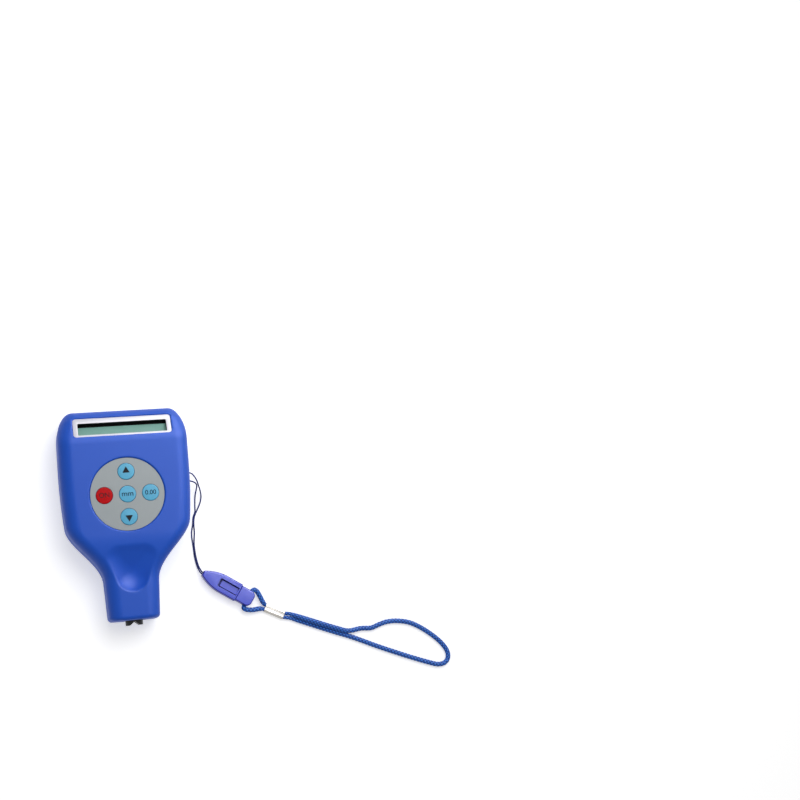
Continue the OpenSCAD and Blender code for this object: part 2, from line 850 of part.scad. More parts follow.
module probe_bobbin() {
    front = probe_tip + sleeve_face;
    head = sleeve_y1;
    color("#d9d4c4") difference() {
        union() {
            along_y([0, front, probe_z]) cylinder(d = probe_bore_d - 2 * probe_gap, h = bobbin_lip);
            along_y([0, front, probe_z]) cylinder(d = coil_core_d, h = spigot_end - front);
            along_y([0, head - bobbin_seat, probe_z])
                cylinder(d = probe_bore_d - 2 * probe_gap, h = bobbin_seat);
            along_y([0, head, probe_z]) cylinder(d = probe_d, h = bobbin_head_t);
            along_y([0, head + bobbin_head_t, probe_z])
                cylinder(d = spigot_d, h = spigot_end - head - bobbin_head_t);
        }
        along_y([0, front - 1, probe_z]) cylinder(d = pole_d + 2 * probe_gap, h = case_len);
    }
}

module probe_coil() {
    y0 = probe_tip + sleeve_face + bobbin_lip;
    color("#b5662e") difference() {
        along_y([0, y0, probe_z]) cylinder(d = coil_d, h = sleeve_y1 - bobbin_seat - y0);
        along_y([0, y0 - 1, probe_z]) cylinder(d = coil_core_d + 2 * seat_gap, h = case_len);
    }
}

module probe_pole() {
    y0 = probe_tip + groove_depth + probe_gap;
    color("#c9ccd0") along_y([0, y0, probe_z]) cylinder(d = pole_d, h = spigot_end - y0);
}

module probe_spring() {
    turns = 7;
    steps = 70;
    path = [for (i = [0:steps]) let (t = i / steps, a = 360 * turns * t)
        [spring_r * cos(a), spring_y0 + spring_wire / 2 + (spring_len - spring_wire) * t,
            probe_z + spring_r * sin(a)]];
    color("#b9bcc2") tube(path, spring_wire, 6);
}

module probe_lead() {
    back = seat_y + seat_t;
    solder_y = board_y0 + lead_d;
    path = [[0, spigot_end, probe_z], [0, seat_y, probe_z], [0, back + lead_d, probe_z],
        [0, back + 3 * lead_d, probe_z + lead_d / 2], [0, solder_y - lead_d / 2, board_bottom - 2 * lead_d],
        [0, solder_y, board_bottom - lead_d], [0, solder_y, board_bottom]];
    color("#303236") tube(smooth(path, 3), lead_d, 8);
}

// Lanyard. The cords' points were chosen by hand from the way they lie on the floor.

// Point beside the case, from the lanyard eye
function beside(x, y, z) = [body_w / 2 + x, eye_y + y, z];

function on_buckle(x, y, z) = [
    buckle_at[0] + x * cos(buckle_turn) - y * sin(buckle_turn),
    buckle_at[1] + x * sin(buckle_turn) + y * cos(buckle_turn),
    z];

module place_buckle() {
    translate(buckle_at) rotate([0, 0, buckle_turn]) children();
}

module lanyard_cord() {
    r = thin_d / 2;
    over = 2.65 * r;
    mid = buckle_t / 2;
    side = 1.12 * r;
    path = [
        beside(-3.4, 0.4, eye_z), beside(-2.9, 1.6, eye_z), beside(-1, eye_pitch / 2, eye_z),
        beside(1.8, 1.6, 8.8), beside(3.5, 0.2, 8.3), beside(5, -2.2, 7.2), beside(5.9, -4.5, 5.4),
        beside(6.9, -7.1, 3.2), beside(7.4, -10, 1.6), beside(6.9, -13, over), beside(5.6, -15.9, over),
        beside(4.3, -18.3, over), beside(3, -21.2, over), beside(2.5, -24.8, over), beside(2.6, -28.5, r),
        beside(2.4, -30.9, r), beside(1.9, -34.5, over), beside(1.9, -37.5, over),
        beside(2.3, -42.4, 1.3), beside(3.1, -46.8, 1.9), beside(4, -49.2, 2.6), on_buckle(-0.6, side, mid),
        on_buckle(1, side, mid), on_buckle(3, 0.8, mid),
        for (a = [75, 25, -25, -75]) on_buckle(bar_x + bar_turn_r * cos(a), bar_turn_r * sin(a), mid),
        on_buckle(3, -0.8, mid), on_buckle(1, -side, mid), on_buckle(-0.6, -side, mid),
        beside(3.3, -49.6, 2.4), beside(2.5, -46.9, 1.2), beside(1.7, -42.4, 0.6), beside(1.4, -37.5, r),
        beside(1.2, -34.5, r), beside(1, -31.5, r), beside(1.2, -28.3, r), beside(2, -24.8, r),
        beside(2.5, -21.2, r), beside(3.7, -18.2, r), beside(3.9, -15.1, r), beside(4.2, -11, 0.9),
        beside(4.6, -8.1, 2.4), beside(5.1, -5.1, 5), beside(4.1, -3.5, 7), beside(1.6, -2.6, 8.6),
        beside(-1, -eye_pitch / 2, eye_z), beside(-2.9, -1.6, eye_z), beside(-3.4, -0.4, eye_z)];
    color("#26368c") tube(path, thin_d, 8);
}

// Plan of the nose: a bullet from a narrow tip to the full width
module nose_plan() {
    w = buckle_w / 2;
    run = 12;
    edge = [for (i = [0:10]) let (u = i / 10 * (0.4 + 0.6 * i / 10))
        [run * u, nose_tip + (w - nose_tip) * pow(sin(90 * u), 0.85)]];
    polygon(concat(edge, [[nose_len, w], [nose_len, -w]],
        [for (i = [10:-1:0]) [edge[i][0], -edge[i][1]]]));
}

module buckle_socket() {
    inner = buckle_t - 2 * socket_wall;
    half = buckle_w / 2 - socket_wall;
    mouth = thin_d + 0.15;
    throat = bar_turn_r + 0.35;
    slot_y = bar_turn_r + thin_d / 2 + 0.45;
    color("#4048d0") place_buckle() difference() {
        linear_extrude(buckle_t) nose_plan();
        translate([nose_len - socket_deep, -half, socket_wall]) cube([socket_deep + 1, 2 * half, inner]);
        translate([window_x, -window_half, buckle_t - socket_wall - 1])
            cube([nose_len - 0.7 - window_x, 2 * window_half, socket_wall + 2]);
        difference() {
            translate([0, 0, buckle_t / 2 - thin_d]) {
                linear_extrude(2 * thin_d) polygon([[-2, -mouth], [1, -mouth], [bar_x - bar_turn_r, -throat],
                    [bar_x, -throat], [bar_x, throat], [bar_x - bar_turn_r, throat], [1, mouth], [-2, mouth]]);
                translate([bar_x - bar_turn_r, -slot_y, 0])
                    cube([2 * bar_turn_r + 0.85, 2 * slot_y, 2 * thin_d]);
            }
            translate([bar_x, 0, 0]) cylinder(d = bar_d, h = buckle_t);
        }
    }
}

// Slot round the latch tongue, open under the window
module tongue_slot() {
    w = window_half - 0.05;
    x0 = window_x + 0.15;
    x1 = nose_len - 0.4;
    difference() {
        translate([x0, -w, 0]) cube([x1 - x0, 2 * w, buckle_t]);
        translate([x0 + 2 * tongue_cut, tongue_cut - w, -1])
            cube([x1 - x0, 2 * (w - tongue_cut), buckle_t + 2]);
    }
}

module buckle_plug() {
    half = buckle_w / 2 - socket_wall - prong_gap;
    color("#4048d0") place_buckle() difference() {
        union() {
            translate([nose_len, -tail_half, 0]) cube([tail_len - tail_r, 2 * tail_half, buckle_t]);
            translate([nose_len, tail_r - tail_half, 0]) cube([tail_len, 2 * (tail_half - tail_r), buckle_t]);
            for (side = [-1, 1]) translate([nose_len + tail_len - tail_r, side * (tail_half - tail_r), 0])
                cylinder(r = tail_r, h = buckle_t);
            translate([nose_len - socket_deep + 0.6, -half, socket_wall + prong_gap])
                cube([socket_deep, 2 * half, buckle_t - 2 * (socket_wall + prong_gap)]);
        }
        tongue_slot();
        translate([tail_hole_x, -tail_half - 1, buckle_t / 2]) rotate([-90, 0, 0])
            cylinder(d = tail_hole_d, h = 2 * tail_half + 2);
    }
}

module clip_section(grow) {
    r = clip_cord_d / 2 + grow;
    for (side = [-1, 1]) translate([side * strand_dy, 0]) circle(r);
    translate([-strand_dy, -r]) square([2 * strand_dy, 2 * r]);
}

module cord_clip() {
    color("#d6d6d8") place_buckle() translate([clip_at[0], clip_at[1], clip_z])
        rotate([0, 0, clip_turn]) rotate([90, 0, 90]) difference() {
            linear_extrude(clip_len) clip_section(clip_gap + clip_wall);
            translate([0, 0, -1]) linear_extrude(clip_len + 2) clip_section(clip_gap);
        }
}

// Point in the clip: along it, and across it to one strand or the other
function in_clip(along, across) = on_buckle(
    clip_at[0] + along * cos(clip_turn) - across * sin(clip_turn),
    clip_at[1] + along * sin(clip_turn) + across * cos(clip_turn),
    clip_z);

// Point of the cord with its own diameter, and one where the clip squeezes it
function sized(p, d) = [p[0], p[1], p[2], d];
function snug(along, across) = sized(in_clip(along, across), clip_cord_d);

module wrist_cord() {
    r = wrist_d / 2;
    over = 2.42 * r;
    mid = buckle_t / 2;
    x = tail_hole_x;
    s = strand_dy;
    half = clip_len / 2;
    path = [
        snug(half - clip_gap, s), snug(half / 2, s), snug(0.2, s),
        on_buckle(35.6, 2.2, 2.2), on_buckle(32.8, 3.9, 2.7), on_buckle(30.2, 5.4, 3),
        on_buckle(28.4, 5.6, mid), on_buckle(x + 0.1, 4.3, mid), on_buckle(x, 2.2, mid),
        on_buckle(x, -2.2, mid), on_buckle(x + 0.1, -4.3, mid), on_buckle(28.4, -5.6, mid),
        on_buckle(30.4, -5.2, 3), on_buckle(32.8, -3.9, 2.7), on_buckle(35.6, -1.7, 2.2),
        snug(0.2, -s), snug(half, -s), snug(clip_len - 0.2, -s),
        sized(beside(49.7, -78.75, r), 0.78 * wrist_d), sized(beside(53.5, -80.3, r), 0.92 * wrist_d),
        beside(60.3, -83.05, r), beside(67.1, -85.9, r), beside(73.8, -88.65, r), beside(80.4, -91.2, r),
        beside(87.4, -94.3, r), beside(96.2, -98.4, r), beside(104.5, -102, r), beside(114.8, -106.3, r),
        beside(123.9, -109.8, r), beside(128.8, -111.3, r), beside(132.7, -110.8, r),
        beside(134.9, -108.2, r), beside(134.5, -104, r), beside(130.4, -98.3, r),
        beside(123, -92, r), beside(115.5, -87.6, r), beside(108.3, -85.9, r), beside(102.6, -85.8, r),
        beside(98, -86.8, r), beside(93.3, -88.2, r), beside(87.6, -87.9, r), beside(80.4, -88.5, 1.81 * r),
        beside(73.8, -86.4, 2.3 * r), beside(67, -83.75, over), beside(60.2, -80.95, over),
        sized(beside(53.5, -78.15, 2.19 * r), 0.92 * wrist_d),
        sized(beside(49.7, -76.6, 1.63 * r), 0.78 * wrist_d),
        snug(clip_len - 0.2, s), snug(half * 1.5, s), snug(half + clip_gap, s)];
    color("#3b5fc0") tube(path, wrist_d, 8);
}

front_cover();
rear_cover();
battery_door();
case_screws();
display_bezel();
display_window();
lcd_panel();
lcd_tray();
lcd_ribbon();
keypad_overlay();
key_on();
key_unit();
key_zero();
key_up();
key_down();
key_domes();
main_board();
board_screws();
microcontroller();
analog_chip();
crystal();
cell_left();
cell_right();
contact_bridge();
contact_minus();
contact_plus();
probe_guide();
probe_sleeve();
probe_bobbin();
probe_coil();
probe_pole();
probe_spring();
probe_lead();
lanyard_cord();
buckle_socket();
buckle_plug();
cord_clip();
wrist_cord();
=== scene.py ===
"""Looks of a hand-held coating thickness gauge, lying on its back beside its wrist cord."""

import json
import math

import bpy
import numpy as np
from mathutils import Euler, Matrix, Vector
from mathutils.bvhtree import BVHTree

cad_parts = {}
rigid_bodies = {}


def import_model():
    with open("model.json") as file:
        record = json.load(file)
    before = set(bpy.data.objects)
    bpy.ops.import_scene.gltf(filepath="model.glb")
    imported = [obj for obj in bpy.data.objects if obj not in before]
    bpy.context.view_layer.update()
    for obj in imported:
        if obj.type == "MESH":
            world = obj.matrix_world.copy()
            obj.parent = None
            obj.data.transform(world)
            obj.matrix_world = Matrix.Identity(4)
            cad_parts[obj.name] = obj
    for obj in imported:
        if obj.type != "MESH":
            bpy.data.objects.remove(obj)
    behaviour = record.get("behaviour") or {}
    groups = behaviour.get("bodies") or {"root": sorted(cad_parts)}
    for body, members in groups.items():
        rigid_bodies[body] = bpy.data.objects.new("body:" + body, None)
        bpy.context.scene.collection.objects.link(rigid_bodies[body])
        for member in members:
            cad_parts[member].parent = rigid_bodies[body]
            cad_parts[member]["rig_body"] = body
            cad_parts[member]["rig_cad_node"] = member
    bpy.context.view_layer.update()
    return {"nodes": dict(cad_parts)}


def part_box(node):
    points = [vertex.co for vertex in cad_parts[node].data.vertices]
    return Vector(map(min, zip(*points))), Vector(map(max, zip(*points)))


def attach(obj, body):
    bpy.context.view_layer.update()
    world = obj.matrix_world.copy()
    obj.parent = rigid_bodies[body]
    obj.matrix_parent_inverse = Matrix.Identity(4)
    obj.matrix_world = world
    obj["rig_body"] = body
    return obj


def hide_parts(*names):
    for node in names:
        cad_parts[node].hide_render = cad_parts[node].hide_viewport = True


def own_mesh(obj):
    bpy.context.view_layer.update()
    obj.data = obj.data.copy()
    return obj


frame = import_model()

MM = 0.001

# Case, in millimetres, as the solids have it
BODY_W = 66
CASE_LEN = 108.5
CASE_T = 26
NECK_W = 25.5
NECK_DROP = 3
FRONT_R = 7
BACK_R = 5
FACET_LEAN = 23
PROBE_OUT = 2.5
SEAM_Z = 13
CORNER_X = 8.4
CORNER_Y = 16
NECK_CORNER = 2
NECK_TAPER = 0.05
BODY_BOW = 1.2
BOW_SPAN = 26
TOP_EDGE_R = 6
BACK_EDGE_R = 5
CREASE_BLEND = 2.4
Y_TOP = (CASE_LEN + PROBE_OUT) / 2
Y_END = Y_TOP - CASE_LEN
Y_BOW = Y_TOP - 30
Y_SHOULDER = Y_TOP - 59.4
Y_NECK = Y_END + 20
Y_DROP = Y_TOP - 65.3
CREASE_Y = Y_TOP - 15.9

# Thumb scoop
SCOOP_W = 23.5
SCOOP_LEN = 21
SCOOP_DEPTH = 4
SCOOP_TOP = Y_NECK + 15
SCOOP_R = 11
SCOOP_TOP_DEPTH = 1.6
SCOOP_SOFT_TOP = 1.2
SCOOP_SOFT_FOOT = 0.35

# Grid of the case's skin
FACE_STEPS = 44
BACK_STEPS = 20
ROUND_STEPS = 16
END_ROWS = 13
BODY_ROWS = 150
CORNER_ROWS = 41
CAP_NARROW = 0.97

# Parting line, and the rounded lips of the recesses
GROOVE = 0.22
PAST = 4.0
SEAM_SLIP = 0.002
SKIN_SPARE = 0.3
SEAM_NEAR = 0.05
PAD_LIP = 0.9
PAD_LIP_SLIP = 0.03
POCKET_LIP = 0.3
POCKET_LIP_SLIP = 0.02
LIP_UNDER = 0.1

# Display frame, in its own slope
BEZEL_W = 49.6
BEZEL_H = 11.2
BEZEL_T = 1.6
BEZEL_R = 1.6
BEZEL_GAP = 0.2
BEZEL_LEAN = 25
BEZEL_UP = 1.3
BEZEL_SINK = 0.5
BEZEL_RIM = 1.1
BEZEL_ROUND = 0.22
MASK_NEAR = 0.03
LCD_W = 45
LCD_H = 7.2
LCD_CORNER = 0.5
PANEL_TOP = -2.8
PANEL_T = 1.8
PANEL_RIM = 1.9
PANEL_ROUND = 0.12
VIEW_INSET = 1.75
# The viewing area's top edge drops this far, so the wider black band along the top is painted shade
VIEW_TOP_SHADE_DROP = 0.8
WINDOW_T = 1
WINDOW_RIM = 0.9
WINDOW_CORNER = 0.4
WINDOW_ROUND = 0.1
BEZEL_Y = CREASE_Y + BEZEL_UP
BEZEL_Z = CASE_T - BEZEL_UP * math.tan(math.radians(FACET_LEAN)) - BEZEL_SINK

# Keypad
PAD_D = 37.6
PAD_SINK = 0.6
KEY_D = 8.4
KEY_CAP_T = 1
KEY_STEM_D = 5
KEY_FOOT_D = 6.4
KEY_FOOT_TOP = CASE_T - 3.7
KEY_ROUND = 0.3
PRINT_T = 0.03
PRINT_BOLD = 0.05
ARROW_R = 2.15
ARROW_SOFT = 0.2
ARROW_OFF = 0.4
PAD_Y = Y_TOP - 45.2

# Lanyard
EYE_Y = Y_TOP - 36.2
EYE_Z = 9
EYE_PITCH = 4.2
THIN_D = 0.8
WRIST_D = 2.7
BUCKLE_W = 9.6
BUCKLE_T = 6
BUCKLE_AT = (4.9, -51)
BUCKLE_TURN = math.radians(-34)
BUCKLE_ROUND = 0.9
SEAM_SHARE = 0.3
NOSE_LEN = 21.5
NOSE_TIP = 1.3
NOSE_RUN = 12
NOSE_SWELL = 0.85
NOSE_STEPS = 25
SOCKET_WALL = 1.4
SOCKET_DEEP = 12.5
PRONG_GAP = 0.15
PRONG_X = NOSE_LEN - SOCKET_DEEP + 0.6
PRONG_ROOT = 2
WINDOW_X = NOSE_LEN - SOCKET_DEEP + 0.6
WINDOW_END = NOSE_LEN - 0.7
WINDOW_HALF = 0.235 * BUCKLE_W
TONGUE_X = WINDOW_X + 0.15
TONGUE_END = NOSE_LEN - 0.4
TONGUE_HALF = WINDOW_HALF - 0.05
TONGUE_CUT = 0.55
SLOT_CORNER = 0.3
# Buckle faces whose normal points up less than this take the darker copy: painted shade
SIDE_SHADE_TILT = 0.9
TAIL_LEN = 8.6
TAIL_HALF = 0.44 * BUCKLE_W
TAIL_R = 2.8
TAIL_HOLE_D = 3.6
TAIL_HOLE_X = NOSE_LEN + 5.9
BAR_X = 5.2
BAR_D = 1.6
BAR_TURN_R = BAR_D / 2 + THIN_D / 2 + 0.2
BAR_ROOM_HALF = BAR_TURN_R + THIN_D / 2 + 0.45
BAR_ROOM_END = BAR_X + BAR_TURN_R + 0.85
MOUTH_HALF = THIN_D + 0.15
THROAT_HALF = BAR_TURN_R + 0.35
CLIP_AT = (38, 0.45)
CLIP_TURN = math.radians(6.4)
CLIP_LEN = 10.8
CLIP_WALL = 0.35
CLIP_GAP = 0.05
CLIP_SHEET = 0.3
CLIP_ROUND = 0.08
CLIP_FLAT = 4
CLIP_STEPS = 160
CLIP_WAIST = 0.22
CLIP_FOLD = 0.14
CLIP_FOLD_AT = 0.8
CLIP_FOLD_W = 0.16
CLIP_CORD_D = 0.74 * WRIST_D
STRAND_DY = CLIP_CORD_D / 2 + CLIP_GAP
CLIP_Z = CLIP_CORD_D / 2 + CLIP_WALL + CLIP_GAP
FLOOR_CLEAR = 0.02

# Camera, from the places of the keys, the display frame and the outline in the photograph
CAMERA_AT = (-63.8, -73.39, 744.47)
CAMERA_TURN = (11.085, -15.412, -6.096)
CAMERA_LENS = 63
CAMERA_SENSOR = 36

# Light: an even room, a large lamp above, a small one over the face, and a card that only shows in the
# gloss. Places and sizes in metres, powers in watts
ROOM_LEVEL = 0.31
KEY_LIGHT = {"at": (0.25, 0.5, 1.15), "aim": (0.0, 0.0, 0.0), "size": 0.9, "power": 4.2}
FACE_LIGHT = {"at": (0.1, 0.14, 0.25), "aim": (0.01, 0.02, 0.02), "size": 0.3, "power": 0.4}
GLOSS_CARD = {"at": (0.25, 0.28, 0.27), "aim": (0.0, -0.03, 0.02), "size": 0.5, "power": 6.0, "lights": False}

# White of the floor beyond the shadows
FLOOR_SIZE = 6
FLOOR_GLOW = 0.5


# Modelling

def only(piece):
    """Selects one piece, so that an operator acts on nothing else."""
    bpy.ops.object.select_all(action="DESELECT")
    piece.select_set(True)
    bpy.context.view_layer.objects.active = piece


def named(name):
    """Names the piece that an operator has just added."""
    piece = bpy.context.active_object
    piece.name = name
    piece.data.name = name
    return piece


def modify(piece, kind, **settings):
    """Adds a modifier with its settings and applies it."""
    only(piece)
    made = piece.modifiers.new(kind.lower(), kind)
    for key, value in settings.items():
        setattr(made, key, value)
    bpy.ops.object.modifier_apply(modifier=made.name)


def cut(piece, cutter, how="DIFFERENCE"):
    """Cuts a piece with another, which is used up."""
    modify(piece, "BOOLEAN", operation=how, object=cutter, solver="EXACT")
    bpy.data.objects.remove(cutter)


def round_edges(piece, width, steps=2, angle=40):
    """Rounds the edges that are sharper than an angle, then shades the faces smooth."""
    modify(piece, "BEVEL", width=width * MM, segments=steps, limit_method="ANGLE",
           angle_limit=math.radians(angle), use_clamp_overlap=True)
    smooth_faces(piece, angle)


def smooth_faces(piece, angle=35):
    """Shades a piece smooth, apart from the edges that are sharper than an angle."""
    only(piece)
    bpy.ops.object.shade_smooth_by_angle(angle=math.radians(angle))


def merge(piece, near=1e-6):
    """Merges doubled points."""
    only(piece)
    bpy.ops.object.mode_set(mode="EDIT")
    bpy.ops.mesh.select_all(action="SELECT")
    bpy.ops.mesh.remove_doubles(threshold=near)
    bpy.ops.object.mode_set(mode="OBJECT")


def outward(piece):
    """Turns all faces outwards."""
    only(piece)
    bpy.ops.object.mode_set(mode="EDIT")
    bpy.ops.mesh.select_all(action="SELECT")
    bpy.ops.mesh.normals_make_consistent(inside=False)
    bpy.ops.object.mode_set(mode="OBJECT")


def place(piece, matrix):
    """Puts a piece at its place, in its mesh."""
    piece.data.transform(matrix)
    piece.data.update()


def select_faces(piece, wanted):
    """Selects the faces for which wanted(centre, normal) is true, and stays in edit mode."""
    only(piece)
    bpy.ops.object.mode_set(mode="EDIT")
    bpy.ops.mesh.select_mode(type="FACE")
    bpy.ops.mesh.select_all(action="DESELECT")
    bpy.ops.object.mode_set(mode="OBJECT")
    for face in piece.data.polygons:
        face.select = wanted(face.center, face.normal)
    bpy.ops.object.mode_set(mode="EDIT")


def copy_of(node, name):
    """A merged copy of a solid's mesh."""
    piece = frame["nodes"][node].copy()
    piece.data = piece.data.copy()
    piece.parent = None
    piece.name = name
    piece.data.name = name
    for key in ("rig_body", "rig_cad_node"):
        if key in piece:
            del piece[key]
    bpy.context.scene.collection.objects.link(piece)
    merge(piece)
    return piece


def block(name, low, high, corner=0.0, steps=6):
    """A block between two corners, in millimetres, with its upright edges rounded."""
    bpy.ops.object.select_all(action="DESELECT")
    size = [b - a for a, b in zip(low, high)]
    middle = [(a + b) / 2 * MM for a, b in zip(low, high)]
    bpy.ops.mesh.primitive_cube_add(size=1, location=middle, scale=[s * MM for s in size])
    bpy.ops.object.transform_apply(location=True, rotation=True, scale=True)
    piece = named(name)
    if corner:
        bpy.ops.object.mode_set(mode="EDIT")
        bpy.ops.mesh.select_mode(type="EDGE")
        bpy.ops.mesh.select_all(action="DESELECT")
        bpy.ops.object.mode_set(mode="OBJECT")
        points = piece.data.vertices
        for edge in piece.data.edges:
            a, b = (points[i].co for i in edge.vertices)
            edge.select = abs(a.z - b.z) > 0.5 * size[2] * MM
        bpy.ops.object.mode_set(mode="EDIT")
        bpy.ops.mesh.bevel(offset=corner * MM, segments=steps, affect="EDGES")
        bpy.ops.object.mode_set(mode="OBJECT")
    return piece


def flared(piece, lip, height, steps=5):
    """Draws the top of a cutter upward and outward, so that the edge it leaves is round."""
    size = [max(v.co[k] for v in piece.data.vertices) - min(v.co[k] for v in piece.data.vertices)
            for k in (0, 1)]
    top = max(v.co.z for v in piece.data.vertices)
    middle = [sum(v.co[k] for v in piece.data.vertices) / len(piece.data.vertices) for k in (0, 1)]
    select_faces(piece, lambda centre, normal: normal.z > 0.9 and centre.z > top - 1e-6)
    done = 0.0
    reach = 0.0
    for i in range(1, steps + 2):
        angle = math.radians(90 * min(i, steps) / steps)
        rise = lip * math.sin(angle) if i <= steps else lip + height
        out = lip * (1 - math.cos(angle))
        grow = [(s + 2 * out * MM) / (s + 2 * reach * MM) for s in size]
        bpy.ops.mesh.extrude_region_move(TRANSFORM_OT_translate={"value": (0, 0, (rise - done) * MM)})
        bpy.ops.transform.resize(value=(grow[0], grow[1], 1), center_override=(*middle, top))
        done = rise
        reach = out
    bpy.ops.object.mode_set(mode="OBJECT")
    return piece


# Materials

GLOSS_SPREAD = 0.05
GRAIN_STRENGTH = 0.6
# Stitch heights between which the cord's painted shade turns into painted highlight
GAP_LEVEL = 0.3
CROWN_LEVEL = 0.95
FIBRE = 0.12
FIBRE_RELIEF = 0.03
FIBRE_STRENGTH = 0.5


def linear(code):
    """Linear colour of an sRGB hex value."""
    parts = [int(code[i:i + 2], 16) / 255 for i in (1, 3, 5)]
    return (*[c / 12.92 if c <= 0.04045 else ((c + 0.055) / 1.055) ** 2.4 for c in parts], 1.0)


def add(tree, kind, settings, links):
    """Adds a node: settings are its options and numbers, links join its inputs to other outputs."""
    made = tree.nodes.new(kind)
    for key, value in settings.items():
        if isinstance(key, int) or key in made.inputs:
            made.inputs[key].default_value = value
        else:
            setattr(made, key, value)
    for key, source in links.items():
        tree.links.new(source, made.inputs[key])
    return made


def bare(name, colour, roughness, **sockets):
    """A material with its shader's own numbers set."""
    made = bpy.data.materials.new(name)
    made.use_nodes = True
    shader = made.node_tree.nodes["Principled BSDF"]
    shader.inputs["Base Color"].default_value = linear(colour)
    shader.inputs["Roughness"].default_value = roughness
    for key, value in sockets.items():
        shader.inputs[key.replace("_", " ")].default_value = value
    return made, made.node_tree, shader


def grained(name, colour, other, roughness, grain, relief, drift=14, stretch=(1, 1, 1), **sockets):
    """A surface with a fine grain of a size in millimetres, and a slow drift between two shades."""
    made, tree, shader = bare(name, colour, roughness, **sockets)
    spot = add(tree, "ShaderNodeTexCoord", {}, {}).outputs["Object"]
    laid = add(tree, "ShaderNodeMapping", {"Scale": stretch}, {"Vector": spot}).outputs[0]
    fine = add(tree, "ShaderNodeTexNoise", {"Scale": 1 / (grain * MM), "Detail": 4.0}, {"Vector": laid})
    slow = add(tree, "ShaderNodeTexNoise", {"Scale": 1 / (drift * MM), "Detail": 2.0}, {"Vector": spot})
    shade = add(tree, "ShaderNodeMix", {"data_type": "RGBA", 6: linear(colour), 7: linear(other)},
                {0: slow.outputs[0]})
    gloss = add(tree, "ShaderNodeMapRange",
                {"To Min": roughness - GLOSS_SPREAD, "To Max": roughness + GLOSS_SPREAD},
                {"Value": fine.outputs[0]})
    bump = add(tree, "ShaderNodeBump", {"Distance": relief * MM, "Strength": GRAIN_STRENGTH},
               {"Height": fine.outputs[0]})
    tree.links.new(shade.outputs[2], shader.inputs["Base Color"])
    tree.links.new(gloss.outputs[0], shader.inputs["Roughness"])
    tree.links.new(bump.outputs[0], shader.inputs["Normal"])
    return made


def woven(name, dark, light, roughness):
    """Braided cord: painted highlight on the crown of each stitch and painted shade in the gaps between them.
    """
    made, tree, shader = bare(name, dark, roughness, Specular_IOR_Level=0.2, Sheen_Weight=0.1,
                              Sheen_Roughness=0.5)
    crown = add(tree, "ShaderNodeAttribute", {"attribute_name": "crown"}, {}).outputs["Fac"]
    ramp = add(tree, "ShaderNodeMapRange", {"From Min": GAP_LEVEL, "From Max": CROWN_LEVEL}, {"Value": crown})
    shade = add(tree, "ShaderNodeMix", {"data_type": "RGBA", 6: linear(dark), 7: linear(light)},
                {0: ramp.outputs[0]})
    spot = add(tree, "ShaderNodeTexCoord", {}, {}).outputs["Object"]
    fibre = add(tree, "ShaderNodeTexNoise", {"Scale": 1 / (FIBRE * MM), "Detail": 2.0}, {"Vector": spot})
    bump = add(tree, "ShaderNodeBump", {"Distance": FIBRE_RELIEF * MM, "Strength": FIBRE_STRENGTH},
               {"Height": fibre.outputs[0]})
    tree.links.new(shade.outputs[2], shader.inputs["Base Color"])
    tree.links.new(bump.outputs[0], shader.inputs["Normal"])
    return made


# Moulded ABS with a satin spark finish: even blue, with a soft white haze where it faces the light
case_blue = grained("satin_abs_blue", "#1750c0", "#1b55c6", 0.45, 0.45, 0.012,
                    Specular_IOR_Level=0.22)
# Pearl-painted ABS frame: pale lavender white
frame_white = grained("pearl_painted_abs", "#d6d4de", "#dcdbe4", 0.3, 0.6, 0.004)
# Matt black: printed ink for the panel's border, and painted shade on the walls of the frame's opening
black_ink_and_shade = grained("matt_black_ink_and_painted_shade", "#040505", "#070808", 0.6, 0.3, 0.004, Specular_IOR_Level=0.1)
# Clear acrylic window with a dull hard coat: it hardly dims what lies behind it
window_clear = bare("clear_acrylic", "#15181a", 0.3, Alpha=0.05, IOR=1.49, Specular_IOR_Level=0.0)[0]
# Twisted nematic glass: a grey green that shifts a little across the cell
lcd_green = grained("lcd_glass_green", "#75a89a", "#81b3ab", 0.5, 1.2, 0.0005, drift=9,
                    Specular_IOR_Level=0.2)
# Screen-printed polyester film over the keypad: fine matt grey
pad_grey = grained("printed_film_grey", "#939b9e", "#9ba2a5", 0.5, 0.35, 0.006, drift=10,
                   Specular_IOR_Level=0.3)
# The same film printed sky blue and red on the keys
key_blue = grained("printed_film_sky_blue", "#46a0c6", "#50aacf", 0.45, 0.35, 0.006, drift=3,
                   Specular_IOR_Level=0.3)
key_red = grained("printed_film_red", "#b80a12", "#c01017", 0.45, 0.35, 0.006, drift=3,
                  Specular_IOR_Level=0.05)
# Printing inks of the marks: flat, hardly glossy
ink_black = grained("printing_ink_black", "#04080d", "#070c12", 0.5, 0.3, 0.002, Specular_IOR_Level=0.1)
ink_blue = grained("printing_ink_slate", "#123448", "#173b50", 0.5, 0.3, 0.002, Specular_IOR_Level=0.1)
ink_red = grained("printing_ink_dark_red", "#4c0911", "#540d15", 0.5, 0.3, 0.002, Specular_IOR_Level=0.1)
# Black acetal: fine moulded satin
acetal_black = grained("moulded_acetal_black", "#0d0e0f", "#121315", 0.38, 0.4, 0.008,
                       Specular_IOR_Level=0.3)
# Tinted polycarbonate of the buckle: pale violet on its top faces, and a darker copy on the faces that turn
# away from up, as painted shade along its sides
buckle_violet = grained("tinted_polycarbonate", "#4f5bd6", "#5a66de", 0.3, 1.5, 0.003,
                        Subsurface_Weight=0.1, Subsurface_Scale=0.002)
buckle_painted_shade = grained("tinted_polycarbonate_painted_shade", "#12179e", "#181ea8", 0.3, 1.5, 0.003,
                      Subsurface_Weight=0.1, Subsurface_Scale=0.002, Specular_IOR_Level=0.3)
